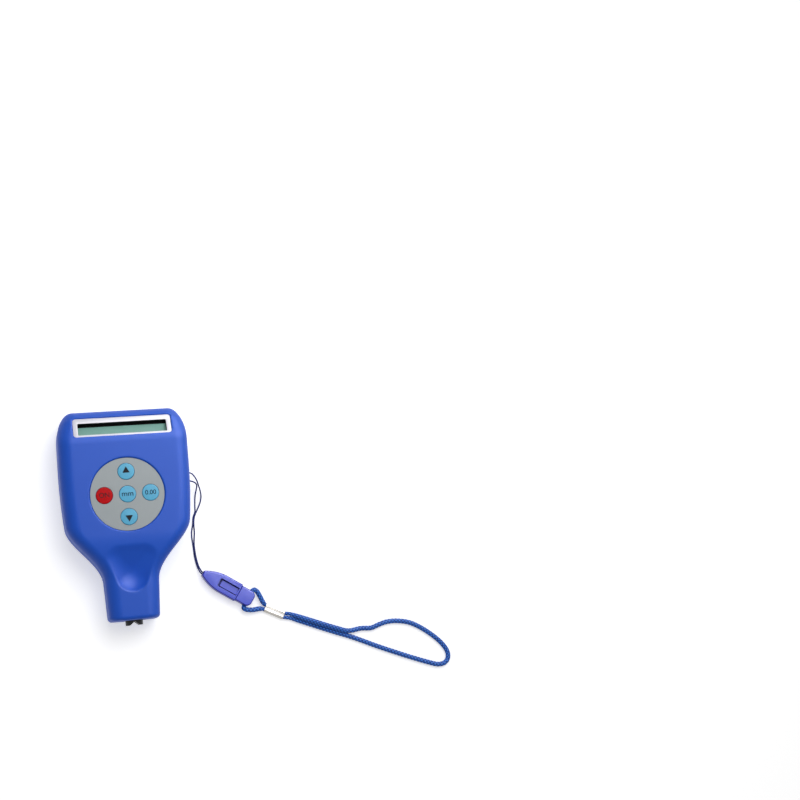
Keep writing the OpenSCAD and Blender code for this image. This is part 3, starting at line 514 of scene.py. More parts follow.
# Nickel-plated brass crimp: bright, with a fine grain
clip_nickel = grained("nickel_plated_brass", "#a9a6a1", "#b3b0ab", 0.4, 0.25, 0.0005, Metallic=1.0)
# Braided polyester: dull fibres, with painted shade darkening the gaps and a painted highlight lightening
# each stitch's crown
thin_navy = woven("braided_polyester_navy", "#0d1648", "#222f78", 0.6)
wrist_blue = woven("braided_polyester_blue", "#02206e", "#387ce0", 0.6)
# Plated and bare metals inside: grey steel screws, brighter springs, warm white contacts
zinc_steel = grained("zinc_plated_steel", "#b9bcc0", "#c6c9cc", 0.3, 0.2, 0.004, Metallic=1.0)
spring_steel = grained("spring_steel", "#a6a9ad", "#b4b7ba", 0.25, 0.2, 0.003, Metallic=1.0)
nickel = grained("nickel_plated_strip", "#c4c3bd", "#d0cfca", 0.26, 0.2, 0.003, Metallic=1.0)
# Solder mask over laminate: glossy green, a little cloudy over the copper
solder_mask = grained("solder_mask_green", "#12552f", "#176338", 0.35, 0.8, 0.01, drift=3)
# Moulded resin and ABS inside: dull near-blacks with a fine grain
epoxy_black = grained("moulded_epoxy_black", "#1a1b1d", "#212225", 0.55, 0.15, 0.01)
tray_black = grained("moulded_abs_black", "#202125", "#26272b", 0.5, 0.4, 0.01)
# Polyimide film: glossy amber
polyimide = grained("polyimide_film", "#b4702a", "#c27c34", 0.3, 0.5, 0.002)
# Enamelled copper wire: turn beside turn across the probe's axis
copper = grained("enamelled_copper_wire", "#a9561f", "#bd6a2c", 0.32, 0.2, 0.02,
                 stretch=(0.1, 4, 0.1), Metallic=1.0)
# Moulded nylon: cream, satin
bobbin_cream = grained("moulded_nylon_cream", "#d8d2bf", "#ded9c8", 0.45, 0.4, 0.006)
# Silicone lead: soft dull black
lead_black = grained("silicone_lead_black", "#1b1c1e", "#222326", 0.6, 0.3, 0.01)


def cell_sleeve():
    """Battery in a printed sleeve: bare nickel-plated ends, dark film between them."""
    film, cap = "#3c4046", "#c9c8c3"
    bare_end = 2.2
    made, tree, shader = bare("battery_sleeve_film", film, 0.3)
    spot = add(tree, "ShaderNodeTexCoord", {}, {}).outputs["Object"]
    along = add(tree, "ShaderNodeSeparateXYZ", {}, {"Vector": spot}).outputs["Y"]
    low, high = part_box("cell_left")
    middle = (low.y + high.y) / 2
    half = (high.y - low.y) / 2 - bare_end * MM
    off = add(tree, "ShaderNodeMath", {"operation": "SUBTRACT", 1: middle}, {0: along}).outputs[0]
    off = add(tree, "ShaderNodeMath", {"operation": "ABSOLUTE"}, {0: off}).outputs[0]
    end = add(tree, "ShaderNodeMath", {"operation": "GREATER_THAN", 1: half}, {0: off}).outputs[0]
    shade = add(tree, "ShaderNodeMix", {"data_type": "RGBA", 6: linear(film), 7: linear(cap)}, {0: end})
    tree.links.new(shade.outputs[2], shader.inputs["Base Color"])
    tree.links.new(end, shader.inputs["Metallic"])
    return made


def paint(piece, *materials):
    """Gives a piece its materials, the first on all faces that name no other."""
    piece.data.materials.clear()
    for material in materials:
        piece.data.materials.append(material)


# Form of the case

def ease(t):
    """0 to 1 with a soft start and a soft end."""
    c = np.clip(t, 0, 1)
    return c * c * (3 - 2 * c)


def quarter(d, reach, rise):
    """Drop of a quarter round of that reach and rise, at a distance from where it ends."""
    t = np.clip((reach - d) / reach, 0, 1)
    return rise * (1 - np.sqrt(np.maximum(0, 1 - t * t)))


def half_width(y):
    """Half the case's width: round top corners, bowed sides, a soft shoulder and a tapered neck."""
    neck = NECK_W / 2 + NECK_TAPER * (y - Y_END)
    body = BODY_W / 2 - BODY_BOW * (np.minimum(0, y - Y_BOW) / BOW_SPAN) ** 2
    full = neck + (body - neck) * ease((y - Y_NECK) / (Y_SHOULDER - Y_NECK))
    return full - quarter(Y_TOP - y, CORNER_Y, CORNER_X) - quarter(y - Y_END, NECK_CORNER, NECK_CORNER)


def face_height(y):
    """Height of the face: the neck, the keypad's level and the facet that leans back from it."""
    d = y - CREASE_Y
    blend = (np.clip(d, -CREASE_BLEND, CREASE_BLEND) + CREASE_BLEND) ** 2 / (4 * CREASE_BLEND)
    run = blend + np.maximum(0, d - CREASE_BLEND)
    drop = NECK_DROP * (1 - ease((y - Y_NECK) / (Y_DROP - Y_NECK)))
    return CASE_T - drop - math.tan(math.radians(FACET_LEAN)) * run


def top_height(y):
    """Height of the face with both ends rounded off."""
    return (face_height(y) - quarter(Y_TOP - y, TOP_EDGE_R, TOP_EDGE_R)
            - quarter(y - Y_END, NECK_CORNER, NECK_CORNER))


def bottom_height(y):
    """Height of the back, with both ends rounded off."""
    return quarter(Y_TOP - y, BACK_EDGE_R, BACK_EDGE_R) + quarter(y - Y_END, NECK_CORNER, NECK_CORNER)


def rod_floor(x, y, a, b):
    """Underside of a round-ended rod of the scoop's radius between two points."""
    run = math.hypot(b[0] - a[0], b[1] - a[1])
    ux, uy = (b[0] - a[0]) / run, (b[1] - a[1]) / run
    slope = (b[2] - a[2]) / run
    s = (x - a[0]) * ux + (y - a[1]) * uy
    left = SCOOP_R ** 2 - ((x - a[0]) ** 2 + (y - a[1]) ** 2 - s * s)
    r = np.sqrt(np.maximum(left, 0))
    at = np.clip(s - r * slope / math.sqrt(1 + slope * slope), 0, run)
    deep = r * r - (s - at) ** 2
    return np.where((left > 0) & (deep > 0), a[2] + slope * at - np.sqrt(np.maximum(deep, 0)), 1e3)


def scoop_floor(x, y):
    """Floor of the thumb scoop: a ball rolled over a triangle, wide at the top and deep at the foot."""
    a = math.sqrt(SCOOP_R ** 2 - (SCOOP_R - SCOOP_TOP_DEPTH) ** 2)
    b = math.sqrt(SCOOP_R ** 2 - (SCOOP_R - SCOOP_DEPTH) ** 2)
    y_a = SCOOP_TOP - a
    y_b = SCOOP_TOP - SCOOP_LEN + b
    z_a = float(face_height(np.array(y_a))) - SCOOP_TOP_DEPTH + SCOOP_R
    z_b = float(face_height(np.array(y_b))) - SCOOP_DEPTH + SCOOP_R
    side = SCOOP_W / 2 - a
    left, right, foot = (-side, y_a, z_a), (side, y_a, z_a), (0, y_b, z_b)
    low = np.minimum(rod_floor(x, y, left, right), rod_floor(x, y, left, foot))
    low = np.minimum(low, rod_floor(x, y, right, foot))
    slope = (z_a - z_b) / (y_a - y_b)
    steep = math.sqrt(1 + slope * slope)
    over = y - SCOOP_R * slope / steep
    share = (over - y_b) / (y_a - y_b)
    inside = (share > 0) & (share < 1) & (np.abs(x) < side * share)
    return np.where(inside, z_a + slope * (y - y_a) - SCOOP_R * steep, low)


def pressed(x, y, z):
    """The face with the scoop pressed into it: a soft upper edge, a crisper foot."""
    floor = scoop_floor(x, y)
    t = ease((y - (SCOOP_TOP - SCOOP_LEN)) / SCOOP_LEN)
    soft = SCOOP_SOFT_FOOT + (SCOOP_SOFT_TOP - SCOOP_SOFT_FOOT) * t
    return np.minimum(z, floor) - np.maximum(soft - np.abs(z - floor), 0) ** 2 / (4 * soft)


def case_skin(name, front):
    """Outer skin of one half of the case: a grid wrapped over its sections and closed past the seam."""
    side = 1 if front else -1
    flat_steps = FACE_STEPS if front else BACK_STEPS
    end = Y_END + NECK_CORNER * (1 - np.cos(np.linspace(0, math.pi / 2, END_ROWS)))
    top = Y_TOP - CORNER_Y * (1 - np.cos(np.linspace(math.pi / 2, 0, CORNER_ROWS)))
    rows = np.concatenate([end[:-1], np.linspace(end[-1], top[0], BODY_ROWS)[:-1], top])
    w = half_width(rows)
    h = side * ((top_height(rows) if front else bottom_height(rows)) - SEAM_Z)
    r = np.minimum(np.minimum(FRONT_R if front else BACK_R, 0.9 * h), 0.9 * w)
    groove = np.minimum(GROOVE, 0.5 * (h - r))
    step = 1e-4
    slope = ((half_width(np.minimum(rows + step, Y_TOP)) - half_width(np.maximum(rows - step, Y_END)))
             / (np.minimum(rows + step, Y_TOP) - np.maximum(rows - step, Y_END)))
    out_x, out_y = 1 / np.sqrt(1 + slope ** 2), -slope / np.sqrt(1 + slope ** 2)
    past = np.full_like(rows, -PAST)
    xs = [w - groove * out_x, w - groove * out_x, w]
    ys = [rows - groove * out_y, rows - groove * out_y, rows]
    zs = [past, 0 * rows - SEAM_SLIP, groove]
    for f in (0.35, 0.7):
        xs.append(w)
        zs.append(groove + (h - r - groove) * f)
    for a in np.linspace(0, math.pi / 2, ROUND_STEPS):
        xs.append(w - r + r * math.cos(a))
        zs.append(h - r + r * math.sin(a))
    for f in np.linspace(0, 1, flat_steps)[1:]:
        xs.append((w - r) * (1 - f))
        zs.append(h)
    ys += [rows] * (len(xs) - len(ys))
    x, y, z = (np.array(a).T for a in (xs, ys, zs))
    x = np.concatenate([x, -x[:, -2::-1]], 1)
    y = np.concatenate([y, y[:, -2::-1]], 1)
    z = np.concatenate([z, z[:, -2::-1]], 1)
    z = SEAM_Z + side * z
    if front:
        z = np.where(np.abs(x) < SCOOP_W, pressed(x, y, z), z)

    def capped(row, level, inset, narrow=1.0):
        """The end's flat cap, cut off at a level above the seam."""
        height = side * (z[row] - SEAM_Z)
        held = height <= level
        return (np.where(held, x[row], x[row] * narrow), np.where(held, y[row], rows[row] + inset),
                SEAM_Z + side * np.minimum(height, level))

    low = [capped(0, -PAST, groove[0]), capped(0, -SEAM_SLIP, groove[0]),
           capped(0, groove[0], 0.0, CAP_NARROW)]
    high = [capped(-1, groove[-1], 0.0, CAP_NARROW), capped(-1, -SEAM_SLIP, -groove[-1]),
            capped(-1, -PAST, -groove[-1])]
    x, y, z = (np.vstack([*[c[k] for c in low], full, *[c[k] for c in high]])
               for k, full in enumerate((x, y, z)))
    count_v, count_u = x.shape
    bpy.ops.object.select_all(action="DESELECT")
    bpy.ops.mesh.primitive_grid_add(x_subdivisions=count_u - 1, y_subdivisions=count_v - 1, size=2)
    piece = named(name)
    flat = np.array([v.co for v in piece.data.vertices])
    i = np.rint((flat[:, 0] + 1) / 2 * (count_u - 1)).astype(int)
    j = np.rint((flat[:, 1] + 1) / 2 * (count_v - 1)).astype(int)
    shaped = np.stack([x[j, i], y[j, i], z[j, i]], 1) * MM
    piece.data.vertices.foreach_set("co", shaped.ravel())
    piece.data.update()
    bpy.ops.object.mode_set(mode="EDIT")
    bpy.ops.mesh.select_mode(type="EDGE")
    bpy.ops.mesh.select_all(action="DESELECT")
    bpy.ops.mesh.select_non_manifold()
    bpy.ops.mesh.edge_face_add()
    bpy.ops.mesh.select_all(action="SELECT")
    bpy.ops.mesh.remove_doubles(threshold=1e-7)
    bpy.ops.mesh.dissolve_degenerate(threshold=1e-6)
    bpy.ops.object.mode_set(mode="OBJECT")
    outward(piece)
    return piece


def shell(name, node, skin, *lips):
    """One moulding: the smooth skin outside, the solid's own walls, bosses and cuts inside."""
    spare = SKIN_SPARE * MM
    core = copy_of(node, name + "_core")
    tree = BVHTree.FromObject(skin, bpy.context.evaluated_depsgraph_get())
    for v in core.data.vertices:
        spot, normal, _, away = tree.find_nearest(v.co)
        if away < spare:
            level = v.co.z
            v.co = spot + normal * spare
            if abs(level - SEAM_Z * MM) < SEAM_NEAR * MM:
                v.co.z = level
    core.data.update()
    only(skin)
    bpy.ops.object.duplicate()
    piece = named(name)
    for lip in lips:
        cut(piece, lip)
    cut(piece, core, "INTERSECT")
    return piece


def on_display():
    """Place of the display frame's own slope: X across, Y up it, Z out of it."""
    lean = Matrix.Rotation(math.radians(-BEZEL_LEAN), 4, "X")
    return Matrix.Translation((0, BEZEL_Y * MM, BEZEL_Z * MM)) @ lean


def turned(name, profile, steps=64):
    """A solid turned about Z from a profile of radius and height in millimetres, axis to axis."""
    mesh = bpy.data.meshes.new(name)
    edges = [(i, i + 1) for i in range(len(profile) - 1)]
    mesh.from_pydata([(r * MM, 0, z * MM) for r, z in profile], edges, [])
    piece = bpy.data.objects.new(name, mesh)
    bpy.context.scene.collection.objects.link(piece)
    only(piece)
    bpy.ops.object.mode_set(mode="EDIT")
    bpy.ops.mesh.select_all(action="SELECT")
    bpy.ops.mesh.spin(steps=steps, angle=2 * math.pi, center=(0, 0, 0), axis=(0, 0, 1))
    bpy.ops.object.mode_set(mode="OBJECT")
    merge(piece, 1e-7)
    outward(piece)
    return piece


def pad_lip():
    """Cutter that rounds the edge of the keypad's recess."""
    low = CASE_T - PAD_SINK
    r = PAD_D / 2 - PAD_LIP_SLIP
    profile = [(0, low - LIP_UNDER), (r, low - LIP_UNDER)]
    profile += [(r + PAD_LIP * (1 - math.cos(a)), low + PAD_SINK * math.sin(a))
                for a in np.linspace(0, math.pi / 2, 8)]
    profile += [(r + PAD_LIP, CASE_T + 1), (0, CASE_T + 1)]
    piece = turned("pad_lip", profile, 128)
    place(piece, Matrix.Translation((0, PAD_Y * MM, 0)))
    return piece


def pocket_lip():
    """Cutter that rounds the edge of the display's recess."""
    slip = POCKET_LIP_SLIP
    w = BEZEL_W / 2 + BEZEL_GAP - slip
    floor = BEZEL_SINK - POCKET_LIP
    piece = block("pocket_lip", (-w, -BEZEL_GAP + slip, floor - LIP_UNDER),
                  (w, BEZEL_H + BEZEL_GAP - slip, floor), BEZEL_R + BEZEL_GAP)
    flared(piece, POCKET_LIP + slip, 2)
    place(piece, on_display())
    return piece


skin_front = case_skin("front_skin", True)
skin_rear = case_skin("rear_skin", False)
front_shell = shell("front_shell", "front_cover", skin_front, pad_lip(), pocket_lip())
rear_shell = shell("rear_shell", "rear_cover", skin_rear)
door_plate = shell("door_plate", "battery_door", skin_rear)
for spent in (skin_front, skin_rear):
    bpy.data.objects.remove(spent)
for piece, node in ((front_shell, "front_cover"), (rear_shell, "rear_cover"), (door_plate, "battery_door")):
    smooth_faces(piece)
    paint(piece, case_blue)
    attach(piece, "battery_door" if piece is door_plate else "gauge")
    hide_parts(node)


# Display

def display_bezel():
    """The pale frame, with the walls of its opening painted black as shade."""
    piece = block("display_frame", (-BEZEL_W / 2, 0, -BEZEL_T), (BEZEL_W / 2, BEZEL_H, 0), BEZEL_R)
    low_y, high_y = BEZEL_RIM, BEZEL_RIM + LCD_H
    hole = block("display_opening", (-LCD_W / 2, low_y, -BEZEL_T - 1), (LCD_W / 2, high_y, 1), LCD_CORNER, 4)
    cut(piece, hole)
    paint(piece, frame_white, black_ink_and_shade)
    round_edges(piece, BEZEL_ROUND, 3)
    # Walls of the opening take the black: painted shade
    for face in piece.data.polygons:
        inner_x = abs(face.center.x) < (LCD_W / 2 + MASK_NEAR) * MM
        inner_y = (low_y - MASK_NEAR) * MM < face.center.y < (high_y + MASK_NEAR) * MM
        face.material_index = 1 if inner_x and inner_y and abs(face.normal.z) < 0.3 else 0
    place(piece, on_display())
    return piece


def display_window():
    """The clear pane behind the frame."""
    w = LCD_W / 2 + WINDOW_RIM
    piece = block("display_window_pane", (-w, BEZEL_RIM - WINDOW_RIM, -BEZEL_T - WINDOW_T),
                  (w, BEZEL_RIM + LCD_H + WINDOW_RIM, -BEZEL_T), WINDOW_CORNER, 3)
    round_edges(piece, WINDOW_ROUND)
    piece.visible_diffuse = False
    paint(piece, window_clear)
    place(piece, on_display())
    return piece


def lcd_glass():
    """The panel, with its viewing area inside a black printed border, widened along the top as painted shade
    below the frame.
    """
    low_y = BEZEL_RIM - PANEL_RIM
    high_y = BEZEL_RIM + LCD_H + PANEL_RIM
    piece = block("lcd_glass", (-LCD_W / 2 - PANEL_RIM, low_y, PANEL_TOP - PANEL_T),
                  (LCD_W / 2 + PANEL_RIM, high_y, PANEL_TOP))
    round_edges(piece, PANEL_ROUND)
    select_faces(piece, lambda centre, normal: normal.z > 0.99)
    bpy.ops.mesh.inset(thickness=VIEW_INSET * MM)
    bpy.ops.object.mode_set(mode="OBJECT")
    paint(piece, black_ink_and_shade, lcd_green)
    for face in piece.data.polygons:
        face.material_index = 1 if face.select else 0
        # Top edge of the viewing area pulled down: painted shade under the frame
        for v in face.vertices if face.select else ():
            if piece.data.vertices[v].co.y > face.center.y:
                piece.data.vertices[v].co.y -= VIEW_TOP_SHADE_DROP * MM
    place(piece, on_display())
    return piece


for piece, node, slot in ((display_bezel(), "display_bezel", "bezel_plastic"),
                          (display_window(), "display_window", "window_clear"),
                          (lcd_glass(), "lcd_panel", "lcd_panel")):
    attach(piece, "gauge")
    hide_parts(node)


# Keypad

def key_cap(name, node, material):
    """A key turned from its profile: foot, stem and a flat cap with a rounded rim."""
    low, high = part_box(node)
    x, y = (low.x + high.x) / 2, (low.y + high.y) / 2
    cap, stem, foot = KEY_D / 2, KEY_STEM_D / 2, KEY_FOOT_D / 2
    bottom, top = low.z / MM, high.z / MM
    under = top - KEY_CAP_T
    profile = [(0, bottom), (foot, bottom), (foot, KEY_FOOT_TOP), (stem, KEY_FOOT_TOP), (stem, under),
               (cap, under)]
    profile += [(cap - KEY_ROUND + KEY_ROUND * math.cos(a), top - KEY_ROUND + KEY_ROUND * math.sin(a))
                for a in np.linspace(0, math.pi / 2, 7)]
    profile.append((0, top))
    piece = turned(name, profile)
    place(piece, Matrix.Translation((x, y, 0)))
    smooth_faces(piece)
    paint(piece, material)
    return piece


def printed(piece, node, material, lift=(0, 0)):
    """Lays a flat print on a key's cap."""
    low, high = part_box(node)
    spot = ((low.x + high.x) / 2 + lift[0] * MM, (low.y + high.y) / 2 + lift[1] * MM, high.z)
    place(piece, Matrix.Translation(spot))
    paint(piece, material)
    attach(piece, node)
    return piece


def arrow(name, turn):
    """A printed triangle with slightly soft corners."""
    bpy.ops.object.select_all(action="DESELECT")
    bpy.ops.mesh.primitive_cylinder_add(vertices=3, radius=ARROW_R * MM, depth=2 * PRINT_T * MM,
                                        rotation=(0, 0, turn))
    bpy.ops.object.transform_apply(location=True, rotation=True, scale=True)
    piece = named(name)
    modify(piece, "BEVEL", width=ARROW_SOFT * MM, segments=3, affect="EDGES", limit_method="ANGLE",
           angle_limit=math.radians(100), use_clamp_overlap=True)
    return piece


def lettering(name, words, size, wide=1.0):
    """A printed word or number."""
    bpy.ops.object.select_all(action="DESELECT")
    bpy.ops.object.text_add()
    piece = named(name)
    piece.data.body = words
    piece.data.size = size * MM
    piece.data.align_x = "CENTER"
    piece.data.align_y = "CENTER"
    piece.data.extrude = PRINT_T * MM
    piece.data.offset = PRINT_BOLD * MM
    bpy.ops.object.convert(target="MESH")
    piece = bpy.context.active_object
    place(piece, Matrix.Diagonal((wide, 1, 1, 1)))
    merge(piece, 1e-8)
    return piece


for node in ("key_on", "key_unit", "key_zero", "key_up", "key_down"):
    cap = key_cap(node + "_cap", node, key_red if node == "key_on" else key_blue)
    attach(cap, node)
    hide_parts(node)
printed(arrow("mark_up", 0), "key_up", ink_black, (0, ARROW_OFF))
printed(arrow("mark_down", math.pi), "key_down", ink_black, (0, -ARROW_OFF))
printed(lettering("mark_on", "ON", 3.4), "key_on", ink_red)
printed(lettering("mark_unit", "mm", 3.6, 1.1), "key_unit", ink_blue, (0, 0.1))
printed(lettering("mark_zero", "0.00", 3.3, 1.0), "key_zero", ink_blue)


# Lanyard

def beside(x, y, z):
    """Point beside the case, from the lanyard eye."""
    return (BODY_W / 2 + x, EYE_Y + y, z)


def on_buckle(x, y, z):
    """Point on the buckle: along it from its nose, and across it."""
    c, s = math.cos(BUCKLE_TURN), math.sin(BUCKLE_TURN)
    at = beside(*BUCKLE_AT, 0)
    return (at[0] + x * c - y * s, at[1] + x * s + y * c, z)


def in_clip(along, across):
    """Point in the clip: along it, and across it to one strand or the other."""
    c, s = math.cos(CLIP_TURN), math.sin(CLIP_TURN)
    return on_buckle(CLIP_AT[0] + along * c - across * s, CLIP_AT[1] + along * s + across * c, CLIP_Z)


def lanyard_route():
    """Points of the thin cord: out of the case, over its own strand, round the buckle's bar and back."""
    r = THIN_D / 2
    over = 2.65 * r
    mid = BUCKLE_T / 2
    side = 1.12 * r
    turn = [math.radians(a) for a in (75, 25, -25, -75)]
    bar = [on_buckle(BAR_X + BAR_TURN_R * math.cos(a), BAR_TURN_R * math.sin(a), mid) for a in turn]
    return [
        beside(-3.4, 0.4, EYE_Z), beside(-2.9, 1.6, EYE_Z), beside(-1, EYE_PITCH / 2, EYE_Z),
        beside(1.8, 1.6, 8.8), beside(3.5, 0.2, 8.3), beside(5, -2.2, 7.2), beside(5.9, -4.5, 5.4),
        beside(6.9, -7.1, 3.2), beside(7.4, -10, 1.6), beside(6.9, -13, over), beside(5.6, -15.9, over),
        beside(4.3, -18.3, over), beside(3, -21.2, over), beside(2.5, -24.8, over), beside(2.6, -28.5, r),
        beside(2.4, -30.9, r), beside(1.9, -34.5, over), beside(1.9, -37.5, over),
        beside(2.3, -42.4, 1.3), beside(3.1, -46.8, 1.9), beside(4, -49.2, 2.6), on_buckle(-0.6, side, mid),
        on_buckle(1, side, mid), on_buckle(3, 0.8, mid), *bar,
        on_buckle(3, -0.8, mid), on_buckle(1, -side, mid), on_buckle(-0.6, -side, mid),
        beside(3.3, -49.6, 2.4), beside(2.5, -46.9, 1.2), beside(1.7, -42.4, 0.6), beside(1.4, -37.5, r),
        beside(1.2, -34.5, r), beside(1, -31.5, r), beside(1.2, -28.3, r), beside(2, -24.8, r),
        beside(2.5, -21.2, r), beside(3.7, -18.2, r), beside(3.9, -15.1, r), beside(4.2, -11, 0.9),
        beside(4.6, -8.1, 2.4), beside(5.1, -5.1, 5), beside(4.1, -3.5, 7), beside(1.6, -2.6, 8.6),
        beside(-1, -EYE_PITCH / 2, EYE_Z), beside(-2.9, -1.6, EYE_Z), beside(-3.4, -0.4, EYE_Z)]


def wrist_route():
    """Points of the wrist cord. A fourth number is the diameter where the clip squeezes it."""
    r = WRIST_D / 2
    over = 2.42 * r
    mid = BUCKLE_T / 2
    x = TAIL_HOLE_X
    s = STRAND_DY
    half = CLIP_LEN / 2

    def snug(along, across):
        return (*in_clip(along, across), CLIP_CORD_D)

    return [
        snug(half - CLIP_GAP, s), snug(half / 2, s), snug(0.2, s),
        on_buckle(35.6, 2.2, 2.2), on_buckle(32.8, 3.9, 2.7), on_buckle(30.2, 5.4, 3),
        on_buckle(28.4, 5.6, mid), on_buckle(x + 0.1, 4.3, mid), on_buckle(x, 2.2, mid),
        on_buckle(x, -2.2, mid), on_buckle(x + 0.1, -4.3, mid), on_buckle(28.4, -5.6, mid),
        on_buckle(30.4, -5.2, 3), on_buckle(32.8, -3.9, 2.7), on_buckle(35.6, -1.7, 2.2),
        snug(0.2, -s), snug(half, -s), snug(CLIP_LEN - 0.2, -s),
        (*beside(49.7, -78.75, r), 0.78 * WRIST_D), (*beside(53.5, -80.3, r), 0.92 * WRIST_D),
        beside(60.3, -83.05, r), beside(67.1, -85.9, r), beside(73.8, -88.65, r), beside(80.4, -91.2, r),
        beside(87.4, -94.3, r), beside(96.2, -98.4, r), beside(104.5, -102, r), beside(114.8, -106.3, r),
        beside(123.9, -109.8, r), beside(128.8, -111.3, r), beside(132.7, -110.8, r),
        beside(134.9, -108.2, r), beside(134.5, -104, r), beside(130.4, -98.3, r),
        beside(123, -92, r), beside(115.5, -87.6, r), beside(108.3, -85.9, r), beside(102.6, -85.8, r),
        beside(98, -86.8, r), beside(93.3, -88.2, r), beside(87.6, -87.9, r), beside(80.4, -88.5, 1.81 * r),
        beside(73.8, -86.4, 2.3 * r), beside(67, -83.75, over), beside(60.2, -80.95, over),
        (*beside(53.5, -78.15, 2.19 * r), 0.92 * WRIST_D), (*beside(49.7, -76.6, 1.63 * r), 0.78 * WRIST_D),
        snug(CLIP_LEN - 0.2, s), snug(half * 1.5, s), snug(half + CLIP_GAP, s)]


def smooth_line(route, spacing, diameter):
    """Evenly spaced points on a smooth curve through a route: places, diameters and distances along it."""
    p = np.array([q if len(q) > 3 else (*q, diameter) for q in route], float)
    p = np.vstack([2 * p[0] - p[1], p, 2 * p[-1] - p[-2]])
    t = np.linspace(0, 1, 40, endpoint=False)[:, None]
    line = []
    for a, b, c, d in zip(p[:-3], p[1:-2], p[2:-1], p[3:]):
        line.append(0.5 * (2 * b + (c - a) * t + (2 * a - 5 * b + 4 * c - d) * t ** 2
                           + (3 * b - a - 3 * c + d) * t ** 3))
    line = np.vstack([*line, p[-2:-1]])
    along = np.concatenate([[0], np.cumsum(np.linalg.norm(np.diff(line[:, :3], axis=0), axis=1))])
    at = np.linspace(0, along[-1], int(along[-1] / spacing) + 1)
    even = np.stack([np.interp(at, along, line[:, k]) for k in range(4)], 1)
    return even[:, :3], even[:, 3], at


def braid(turn, along, carriers, pitch):
    """Height of a braid's stitches, 0 in the gaps and 1 on the crowns."""
    a = carriers * (turn + along / pitch)
    b = carriers * (turn - along / pitch)
    across = 1 - (2 * (a % 1) - 1) ** 2
    over = 1 - (2 * (b % 1) - 1) ** 2
    return np.sqrt(across * over)


def lofted(name, rings):
    """A closed skin over rings of equally many points, in millimetres."""
    n, sides = rings.shape[:2]
    faces = []
    for i in range(n - 1):
        here, ahead = i * sides, (i + 1) * sides
        for k in range(sides):
            beyond = (k + 1) % sides
            faces.append((here + k, here + beyond, ahead + beyond, ahead + k))
    faces.append(tuple(range(sides - 1, -1, -1)))
    faces.append(tuple((n - 1) * sides + k for k in range(sides)))
    mesh = bpy.data.meshes.new(name)
    mesh.from_pydata((rings.reshape(-1, 3) * MM).tolist(), [], faces)
    piece = bpy.data.objects.new(name, mesh)
    bpy.context.scene.collection.objects.link(piece)
    outward(piece)
    return piece


def cord_tube(name, route, diameter, spacing, sides, carriers, pitch, relief, material):
    """Braided tube along a route. Returns the piece and its centre line in metres."""
    line, girth, along = smooth_line(route, spacing, diameter)
    ahead = np.gradient(line, axis=0)
    ahead /= np.linalg.norm(ahead, axis=1)[:, None]
    across = np.zeros_like(line)
    last = np.cross(ahead[0], (0, 0, 1))
    for i, t in enumerate(ahead):
        last = last - t * np.dot(last, t)
        last /= np.linalg.norm(last)
        across[i] = last
    up = np.cross(ahead, across)
    turn = np.arange(sides) / sides
    lift = braid(turn[None, :], along[:, None], carriers, pitch)
    radius = girth[:, None] / 2 * (1 - relief + relief * lift)
    angle = 2 * math.pi * turn
    rings = (line[:, None, :] + radius[..., None] * (np.cos(angle)[None, :, None] * across[:, None, :]
                                                     + np.sin(angle)[None, :, None] * up[:, None, :]))
    rings[..., 2] = np.maximum(rings[..., 2], FLOOR_CLEAR)
    piece = lofted(name, rings)
    # Stitch height, which the material turns into painted shade in the gaps and painted highlight on the
    # crowns
    crown = piece.data.attributes.new("crown", "FLOAT", "POINT")
    crown.data.foreach_set("value", lift.ravel().astype(np.float32))
    smooth_faces(piece, 60)
    paint(piece, material)
    return piece, line * MM


def rounded_plate(name, outline):
    """The buckle's thickness of an outline, which takes an inset, with its upper and lower rims rounded."""
    round_off = [(BUCKLE_ROUND * (1 - math.sin(a)), BUCKLE_ROUND * (1 - math.cos(a)))
                 for a in np.linspace(0, math.pi / 2, 7)]
    levels = round_off + [(inset, BUCKLE_T - z) for inset, z in reversed(round_off)]
    return lofted(name, np.array([[(x, y, z) for x, y in outline(inset)] for inset, z in levels]))


def nose_outline(inset):
    """Outline of the buckle's nose: a bullet that swells from its tip to its full width."""
    u = np.linspace(0, 1, NOSE_STEPS) * (0.4 + 0.6 * np.linspace(0, 1, NOSE_STEPS))
    tip = NOSE_TIP - 0.6 * inset
    x = inset + (NOSE_RUN - inset) * u
    y = tip + (BUCKLE_W / 2 - inset - tip) * np.sin(math.pi / 2 * u) ** NOSE_SWELL
    end = NOSE_LEN - SEAM_SHARE * inset
    x, y = np.append(x, end), np.append(y, y[-1])
    return list(zip(x, -y)) + list(zip(x[::-1], y[::-1]))


def tail_outline(inset):
    """Outline of the buckle's tail, with two round corners."""
    h, r, end = TAIL_HALF - inset, TAIL_R - 0.8 * inset, NOSE_LEN + TAIL_LEN - inset
    a = np.linspace(0, math.pi / 2, 9)
    x = np.append(NOSE_LEN + SEAM_SHARE * inset, end - r + r * np.sin(a))
    y = np.append(h, h - r + r * np.cos(a))
    return list(zip(x, -y)) + list(zip(x[::-1], y[::-1]))


def on_buckle_matrix():
    """Place of the buckle, as a matrix."""
    nose = [c * MM for c in beside(*BUCKLE_AT, 0)]
    return Matrix.Translation(nose) @ Matrix.Rotation(BUCKLE_TURN, 4, "Z")


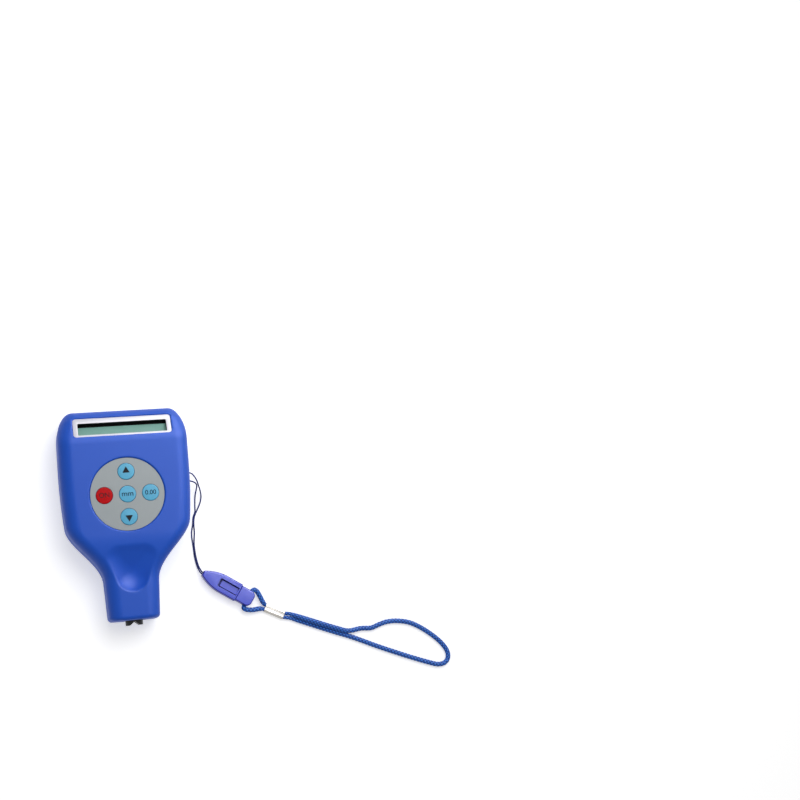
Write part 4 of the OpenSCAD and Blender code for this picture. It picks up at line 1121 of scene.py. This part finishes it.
def buckle_socket():
    """The buckle's nose: a bullet with a window, a pocket for the prong and a bar for the thin cord."""
    piece = rounded_plate("buckle_nose", nose_outline)
    half = BUCKLE_W / 2 - SOCKET_WALL
    low, high = BUCKLE_T / 2 - THIN_D, BUCKLE_T / 2 + THIN_D
    cut(piece, block("pocket", (NOSE_LEN - SOCKET_DEEP, -half, SOCKET_WALL),
                     (NOSE_LEN + 1, half, BUCKLE_T - SOCKET_WALL)))
    cut(piece, block("window", (WINDOW_X, -WINDOW_HALF, BUCKLE_T - SOCKET_WALL - 1),
                     (WINDOW_END, WINDOW_HALF, BUCKLE_T + 1), SLOT_CORNER, 3))
    way = [(-2, MOUTH_HALF), (1, MOUTH_HALF), (BAR_X - BAR_TURN_R, THROAT_HALF),
           (BAR_X - BAR_D / 2, THROAT_HALF)]
    way = [(x, -y) for x, y in way] + way[::-1]
    cut(piece, lofted("mouth", np.array([[(x, y, z) for x, y in way] for z in (low, high)])))
    room = block("bar_room", (BAR_X - BAR_TURN_R, -BAR_ROOM_HALF, low), (BAR_ROOM_END, BAR_ROOM_HALF, high))
    bar = turned("bar", [(0, -1), (BAR_D / 2, -1), (BAR_D / 2, BUCKLE_T + 1), (0, BUCKLE_T + 1)], 32)
    place(bar, Matrix.Translation((BAR_X * MM, 0, 0)))
    cut(room, bar)
    cut(piece, room)
    place(piece, on_buckle_matrix())
    smooth_faces(piece)
    return piece


def buckle_plug():
    """The buckle's tail: a rounded end with a cord hole, and a prong whose tongue shows in the window."""
    piece = rounded_plate("buckle_tail", tail_outline)
    half = BUCKLE_W / 2 - SOCKET_WALL - PRONG_GAP
    low = SOCKET_WALL + PRONG_GAP
    prong = block("prong", (PRONG_X, -half, low), (NOSE_LEN + PRONG_ROOT, half, BUCKLE_T - low))
    w = TONGUE_HALF
    slot = block("tongue_slot", (TONGUE_X, -w, 0), (TONGUE_END, w, BUCKLE_T), SLOT_CORNER, 3)
    cut(slot, block("tongue", (TONGUE_X + 2 * TONGUE_CUT, TONGUE_CUT - w, -1),
                    (TONGUE_END + 1, w - TONGUE_CUT, BUCKLE_T + 1), SLOT_CORNER, 3))
    cut(prong, slot)
    cut(piece, prong, "UNION")
    h, r = 2 * TAIL_HALF, TAIL_HOLE_D / 2
    hole = turned("cord_hole", [(0, -h), (r, -h), (r, h), (0, h)], 32)
    place(hole, Matrix.Translation((TAIL_HOLE_X * MM, 0, BUCKLE_T / 2 * MM))
          @ Matrix.Rotation(math.pi / 2, 4, "X"))
    cut(piece, hole)
    place(piece, on_buckle_matrix())
    smooth_faces(piece)
    return piece


def cord_crimp():
    """A pressed sleeve round both strands, with a waist along its middle and a fold on each side of it."""
    bpy.ops.object.select_all(action="DESELECT")
    bpy.ops.mesh.primitive_circle_add(vertices=CLIP_STEPS, radius=1)
    piece = named("cord_crimp")
    r = CLIP_CORD_D / 2 + CLIP_GAP + CLIP_WALL
    for v in piece.data.vertices:
        a = math.atan2(v.co.y, v.co.x)
        across, up = r * math.cos(a), r * math.sin(a)
        across += STRAND_DY * math.tanh(CLIP_FLAT * math.cos(a)) / math.tanh(CLIP_FLAT)
        waist = max(0.0, 1 - abs(across) / STRAND_DY)
        fold = math.exp(-((abs(across) - CLIP_FOLD_AT) / CLIP_FOLD_W) ** 2)
        press = CLIP_WAIST * waist * waist * (3 - 2 * waist) + CLIP_FOLD * fold
        v.co = Vector((0, across, up * (1 - press / r))) * MM
    bpy.ops.object.mode_set(mode="EDIT")
    bpy.ops.mesh.select_all(action="SELECT")
    bpy.ops.mesh.extrude_region_move(TRANSFORM_OT_translate={"value": (CLIP_LEN * MM, 0, 0)})
    bpy.ops.object.mode_set(mode="OBJECT")
    outward(piece)
    modify(piece, "SOLIDIFY", thickness=CLIP_SHEET * MM, offset=-1)
    round_edges(piece, CLIP_ROUND, 2, 60)
    place(piece, Matrix.Translation((CLIP_AT[0] * MM, CLIP_AT[1] * MM, CLIP_Z * MM))
          @ Matrix.Rotation(CLIP_TURN, 4, "Z"))
    place(piece, on_buckle_matrix())
    return piece


buckle_nose = buckle_socket()
buckle_tail = buckle_plug()
crimp = cord_crimp()
for piece, node, body, slot, material in (
        (buckle_nose, "buckle_socket", "gauge", "buckle_plastic", buckle_violet),
        (buckle_tail, "buckle_plug", "wrist_strap", "buckle_plastic", buckle_violet),
        (crimp, "cord_clip", "wrist_strap", "clip_metal", clip_nickel)):
    paint(piece, material, *([buckle_painted_shade] if piece is not crimp else []))
    # The buckle's faces that turn away from up take the darker copy, as painted shade
    for face in piece.data.polygons:
        face.material_index = 1 if piece is not crimp and face.normal.z < SIDE_SHADE_TILT else 0
    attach(piece, body)
    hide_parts(node)

thin_cord, thin_line = cord_tube("thin_cord", lanyard_route(), THIN_D, spacing=0.22, sides=16, carriers=3,
                                 pitch=3.6, relief=0.16, material=thin_navy)
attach(thin_cord, "gauge")
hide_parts("lanyard_cord")
wrist_loop, wrist_line = cord_tube("wrist_loop", wrist_route(), WRIST_D, spacing=0.24, sides=32, carriers=4,
                                   pitch=7.6, relief=0.15, material=wrist_blue)
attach(wrist_loop, "wrist_strap")
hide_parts("wrist_cord")


# Pieces that keep their solids: rounded edges and their own materials

def dress(node, material, width):
    """Gives a solid its material and small round edges, by modifiers alone."""
    piece = frame["nodes"][node]
    paint(piece, material)
    piece.data.polygons.foreach_set("use_smooth", [True] * len(piece.data.polygons))
    piece.modifiers.new("weld", "WELD").merge_threshold = 1e-6
    flat = piece.modifiers.new("flat", "DECIMATE")
    flat.decimate_type = "DISSOLVE"
    flat.angle_limit = math.radians(1)
    edge = piece.modifiers.new("edge", "BEVEL")
    edge.width = width * MM
    edge.segments = 2
    edge.limit_method = "ANGLE"
    edge.angle_limit = math.radians(40)
    edge.use_clamp_overlap = True
    piece.modifiers.new("shade", "WEIGHTED_NORMAL").keep_sharp = False


cell_film = cell_sleeve()
INNER = {
    "case_screws": (zinc_steel, 0.15), "board_screws": (zinc_steel, 0.1),
    "lcd_tray": (tray_black, 0.1), "lcd_ribbon": (polyimide, 0.03),
    "keypad_overlay": (pad_grey, 0.1), "key_domes": (spring_steel, 0.1),
    "main_board": (solder_mask, 0.1), "microcontroller": (epoxy_black, 0.12),
    "analog_chip": (epoxy_black, 0.12), "crystal": (zinc_steel, 0.25),
    "cell_left": (cell_film, 0.35), "cell_right": (cell_film, 0.35),
    "contact_bridge": (nickel, 0.05), "contact_minus": (nickel, 0.05), "contact_plus": (nickel, 0.05),
    "probe_guide": (acetal_black, 0.2), "probe_sleeve": (acetal_black, 0.18),
    "probe_bobbin": (bobbin_cream, 0.1), "probe_coil": (copper, 0.1), "probe_pole": (spring_steel, 0.12),
    "probe_lead": (lead_black, 0.05),
}
for node, (material, width) in INNER.items():
    dress(node, material, width)


def return_spring():
    """The probe's spring, copied from its solid with a mesh of its own."""
    piece = copy_of("probe_spring", "return_spring")
    smooth_faces(piece, 70)
    paint(piece, spring_steel)
    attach(piece, "gauge")
    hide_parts("probe_spring")
    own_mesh(piece)


return_spring()


# Floor, light and camera

def seen_rays(tree):
    """1 for the rays that show a background: the camera's, and those reflected or let through to it."""
    path = add(tree, "ShaderNodeLightPath", {}, {}).outputs
    some = add(tree, "ShaderNodeMath", {"operation": "MAXIMUM"},
               {0: path["Is Camera Ray"], 1: path["Is Glossy Ray"]})
    return add(tree, "ShaderNodeMath", {"operation": "MAXIMUM"},
               {0: some.outputs[0], 1: path["Is Transmission Ray"]}).outputs[0]


def floor():
    """White paper that glows just enough to be white, and keeps the object's shadow."""
    bpy.ops.object.select_all(action="DESELECT")
    bpy.ops.mesh.primitive_plane_add(size=FLOOR_SIZE)
    piece = named("floor")
    paper = grained("white_paper", "#f4f4f5", "#f6f6f6", 0.9, 3, 0.01, drift=200, Specular_IOR_Level=0.0)
    tree = paper.node_tree
    glow = add(tree, "ShaderNodeMath", {"operation": "MULTIPLY", 1: FLOOR_GLOW}, {0: seen_rays(tree)})
    shader = tree.nodes["Principled BSDF"]
    shader.inputs["Emission Color"].default_value = (1, 1, 1, 1)
    tree.links.new(glow.outputs[0], shader.inputs["Emission Strength"])
    paint(piece, paper)


def softbox(name, at, aim, size, power, lights=True):
    """A square lamp. One that lights nothing only shows in the gloss, as a reflector card does."""
    spot = Vector(at)
    turn = (Vector(aim) - spot).to_track_quat("-Z", "Y").to_euler()
    bpy.ops.object.select_all(action="DESELECT")
    bpy.ops.object.light_add(type="AREA", location=spot, rotation=turn)
    lamp = bpy.context.active_object
    lamp.name = name
    lamp.data.shape = "SQUARE"
    lamp.data.size = size
    lamp.data.energy = power
    lamp.visible_diffuse = lights


def world_light(strength):
    """An even room: white to the eye and in reflections, dimmer as a light."""
    world = bpy.data.worlds.new("white_room")
    bpy.context.scene.world = world
    world.use_nodes = True
    tree = world.node_tree
    level = add(tree, "ShaderNodeMapRange", {"To Min": strength, "To Max": 1.0}, {"Value": seen_rays(tree)})
    tree.links.new(level.outputs[0], tree.nodes["Background"].inputs["Strength"])
    tree.nodes["Background"].inputs["Color"].default_value = (1, 1, 1, 1)


def camera():
    """The photograph's view."""
    bpy.ops.object.select_all(action="DESELECT")
    turn = Euler([math.radians(a) for a in CAMERA_TURN], "XYZ")
    bpy.ops.object.camera_add(location=[c * MM for c in CAMERA_AT], rotation=turn)
    made = bpy.context.active_object
    made.data.lens = CAMERA_LENS
    made.data.sensor_width = CAMERA_SENSOR
    made.data.clip_start = 0.01
    bpy.context.scene.camera = made


floor()
world_light(ROOM_LEVEL)
softbox("key_light", **KEY_LIGHT)
softbox("face_light", **FACE_LIGHT)
softbox("gloss_card", **GLOSS_CARD)
camera()
bpy.context.scene.view_settings.view_transform = "Standard"
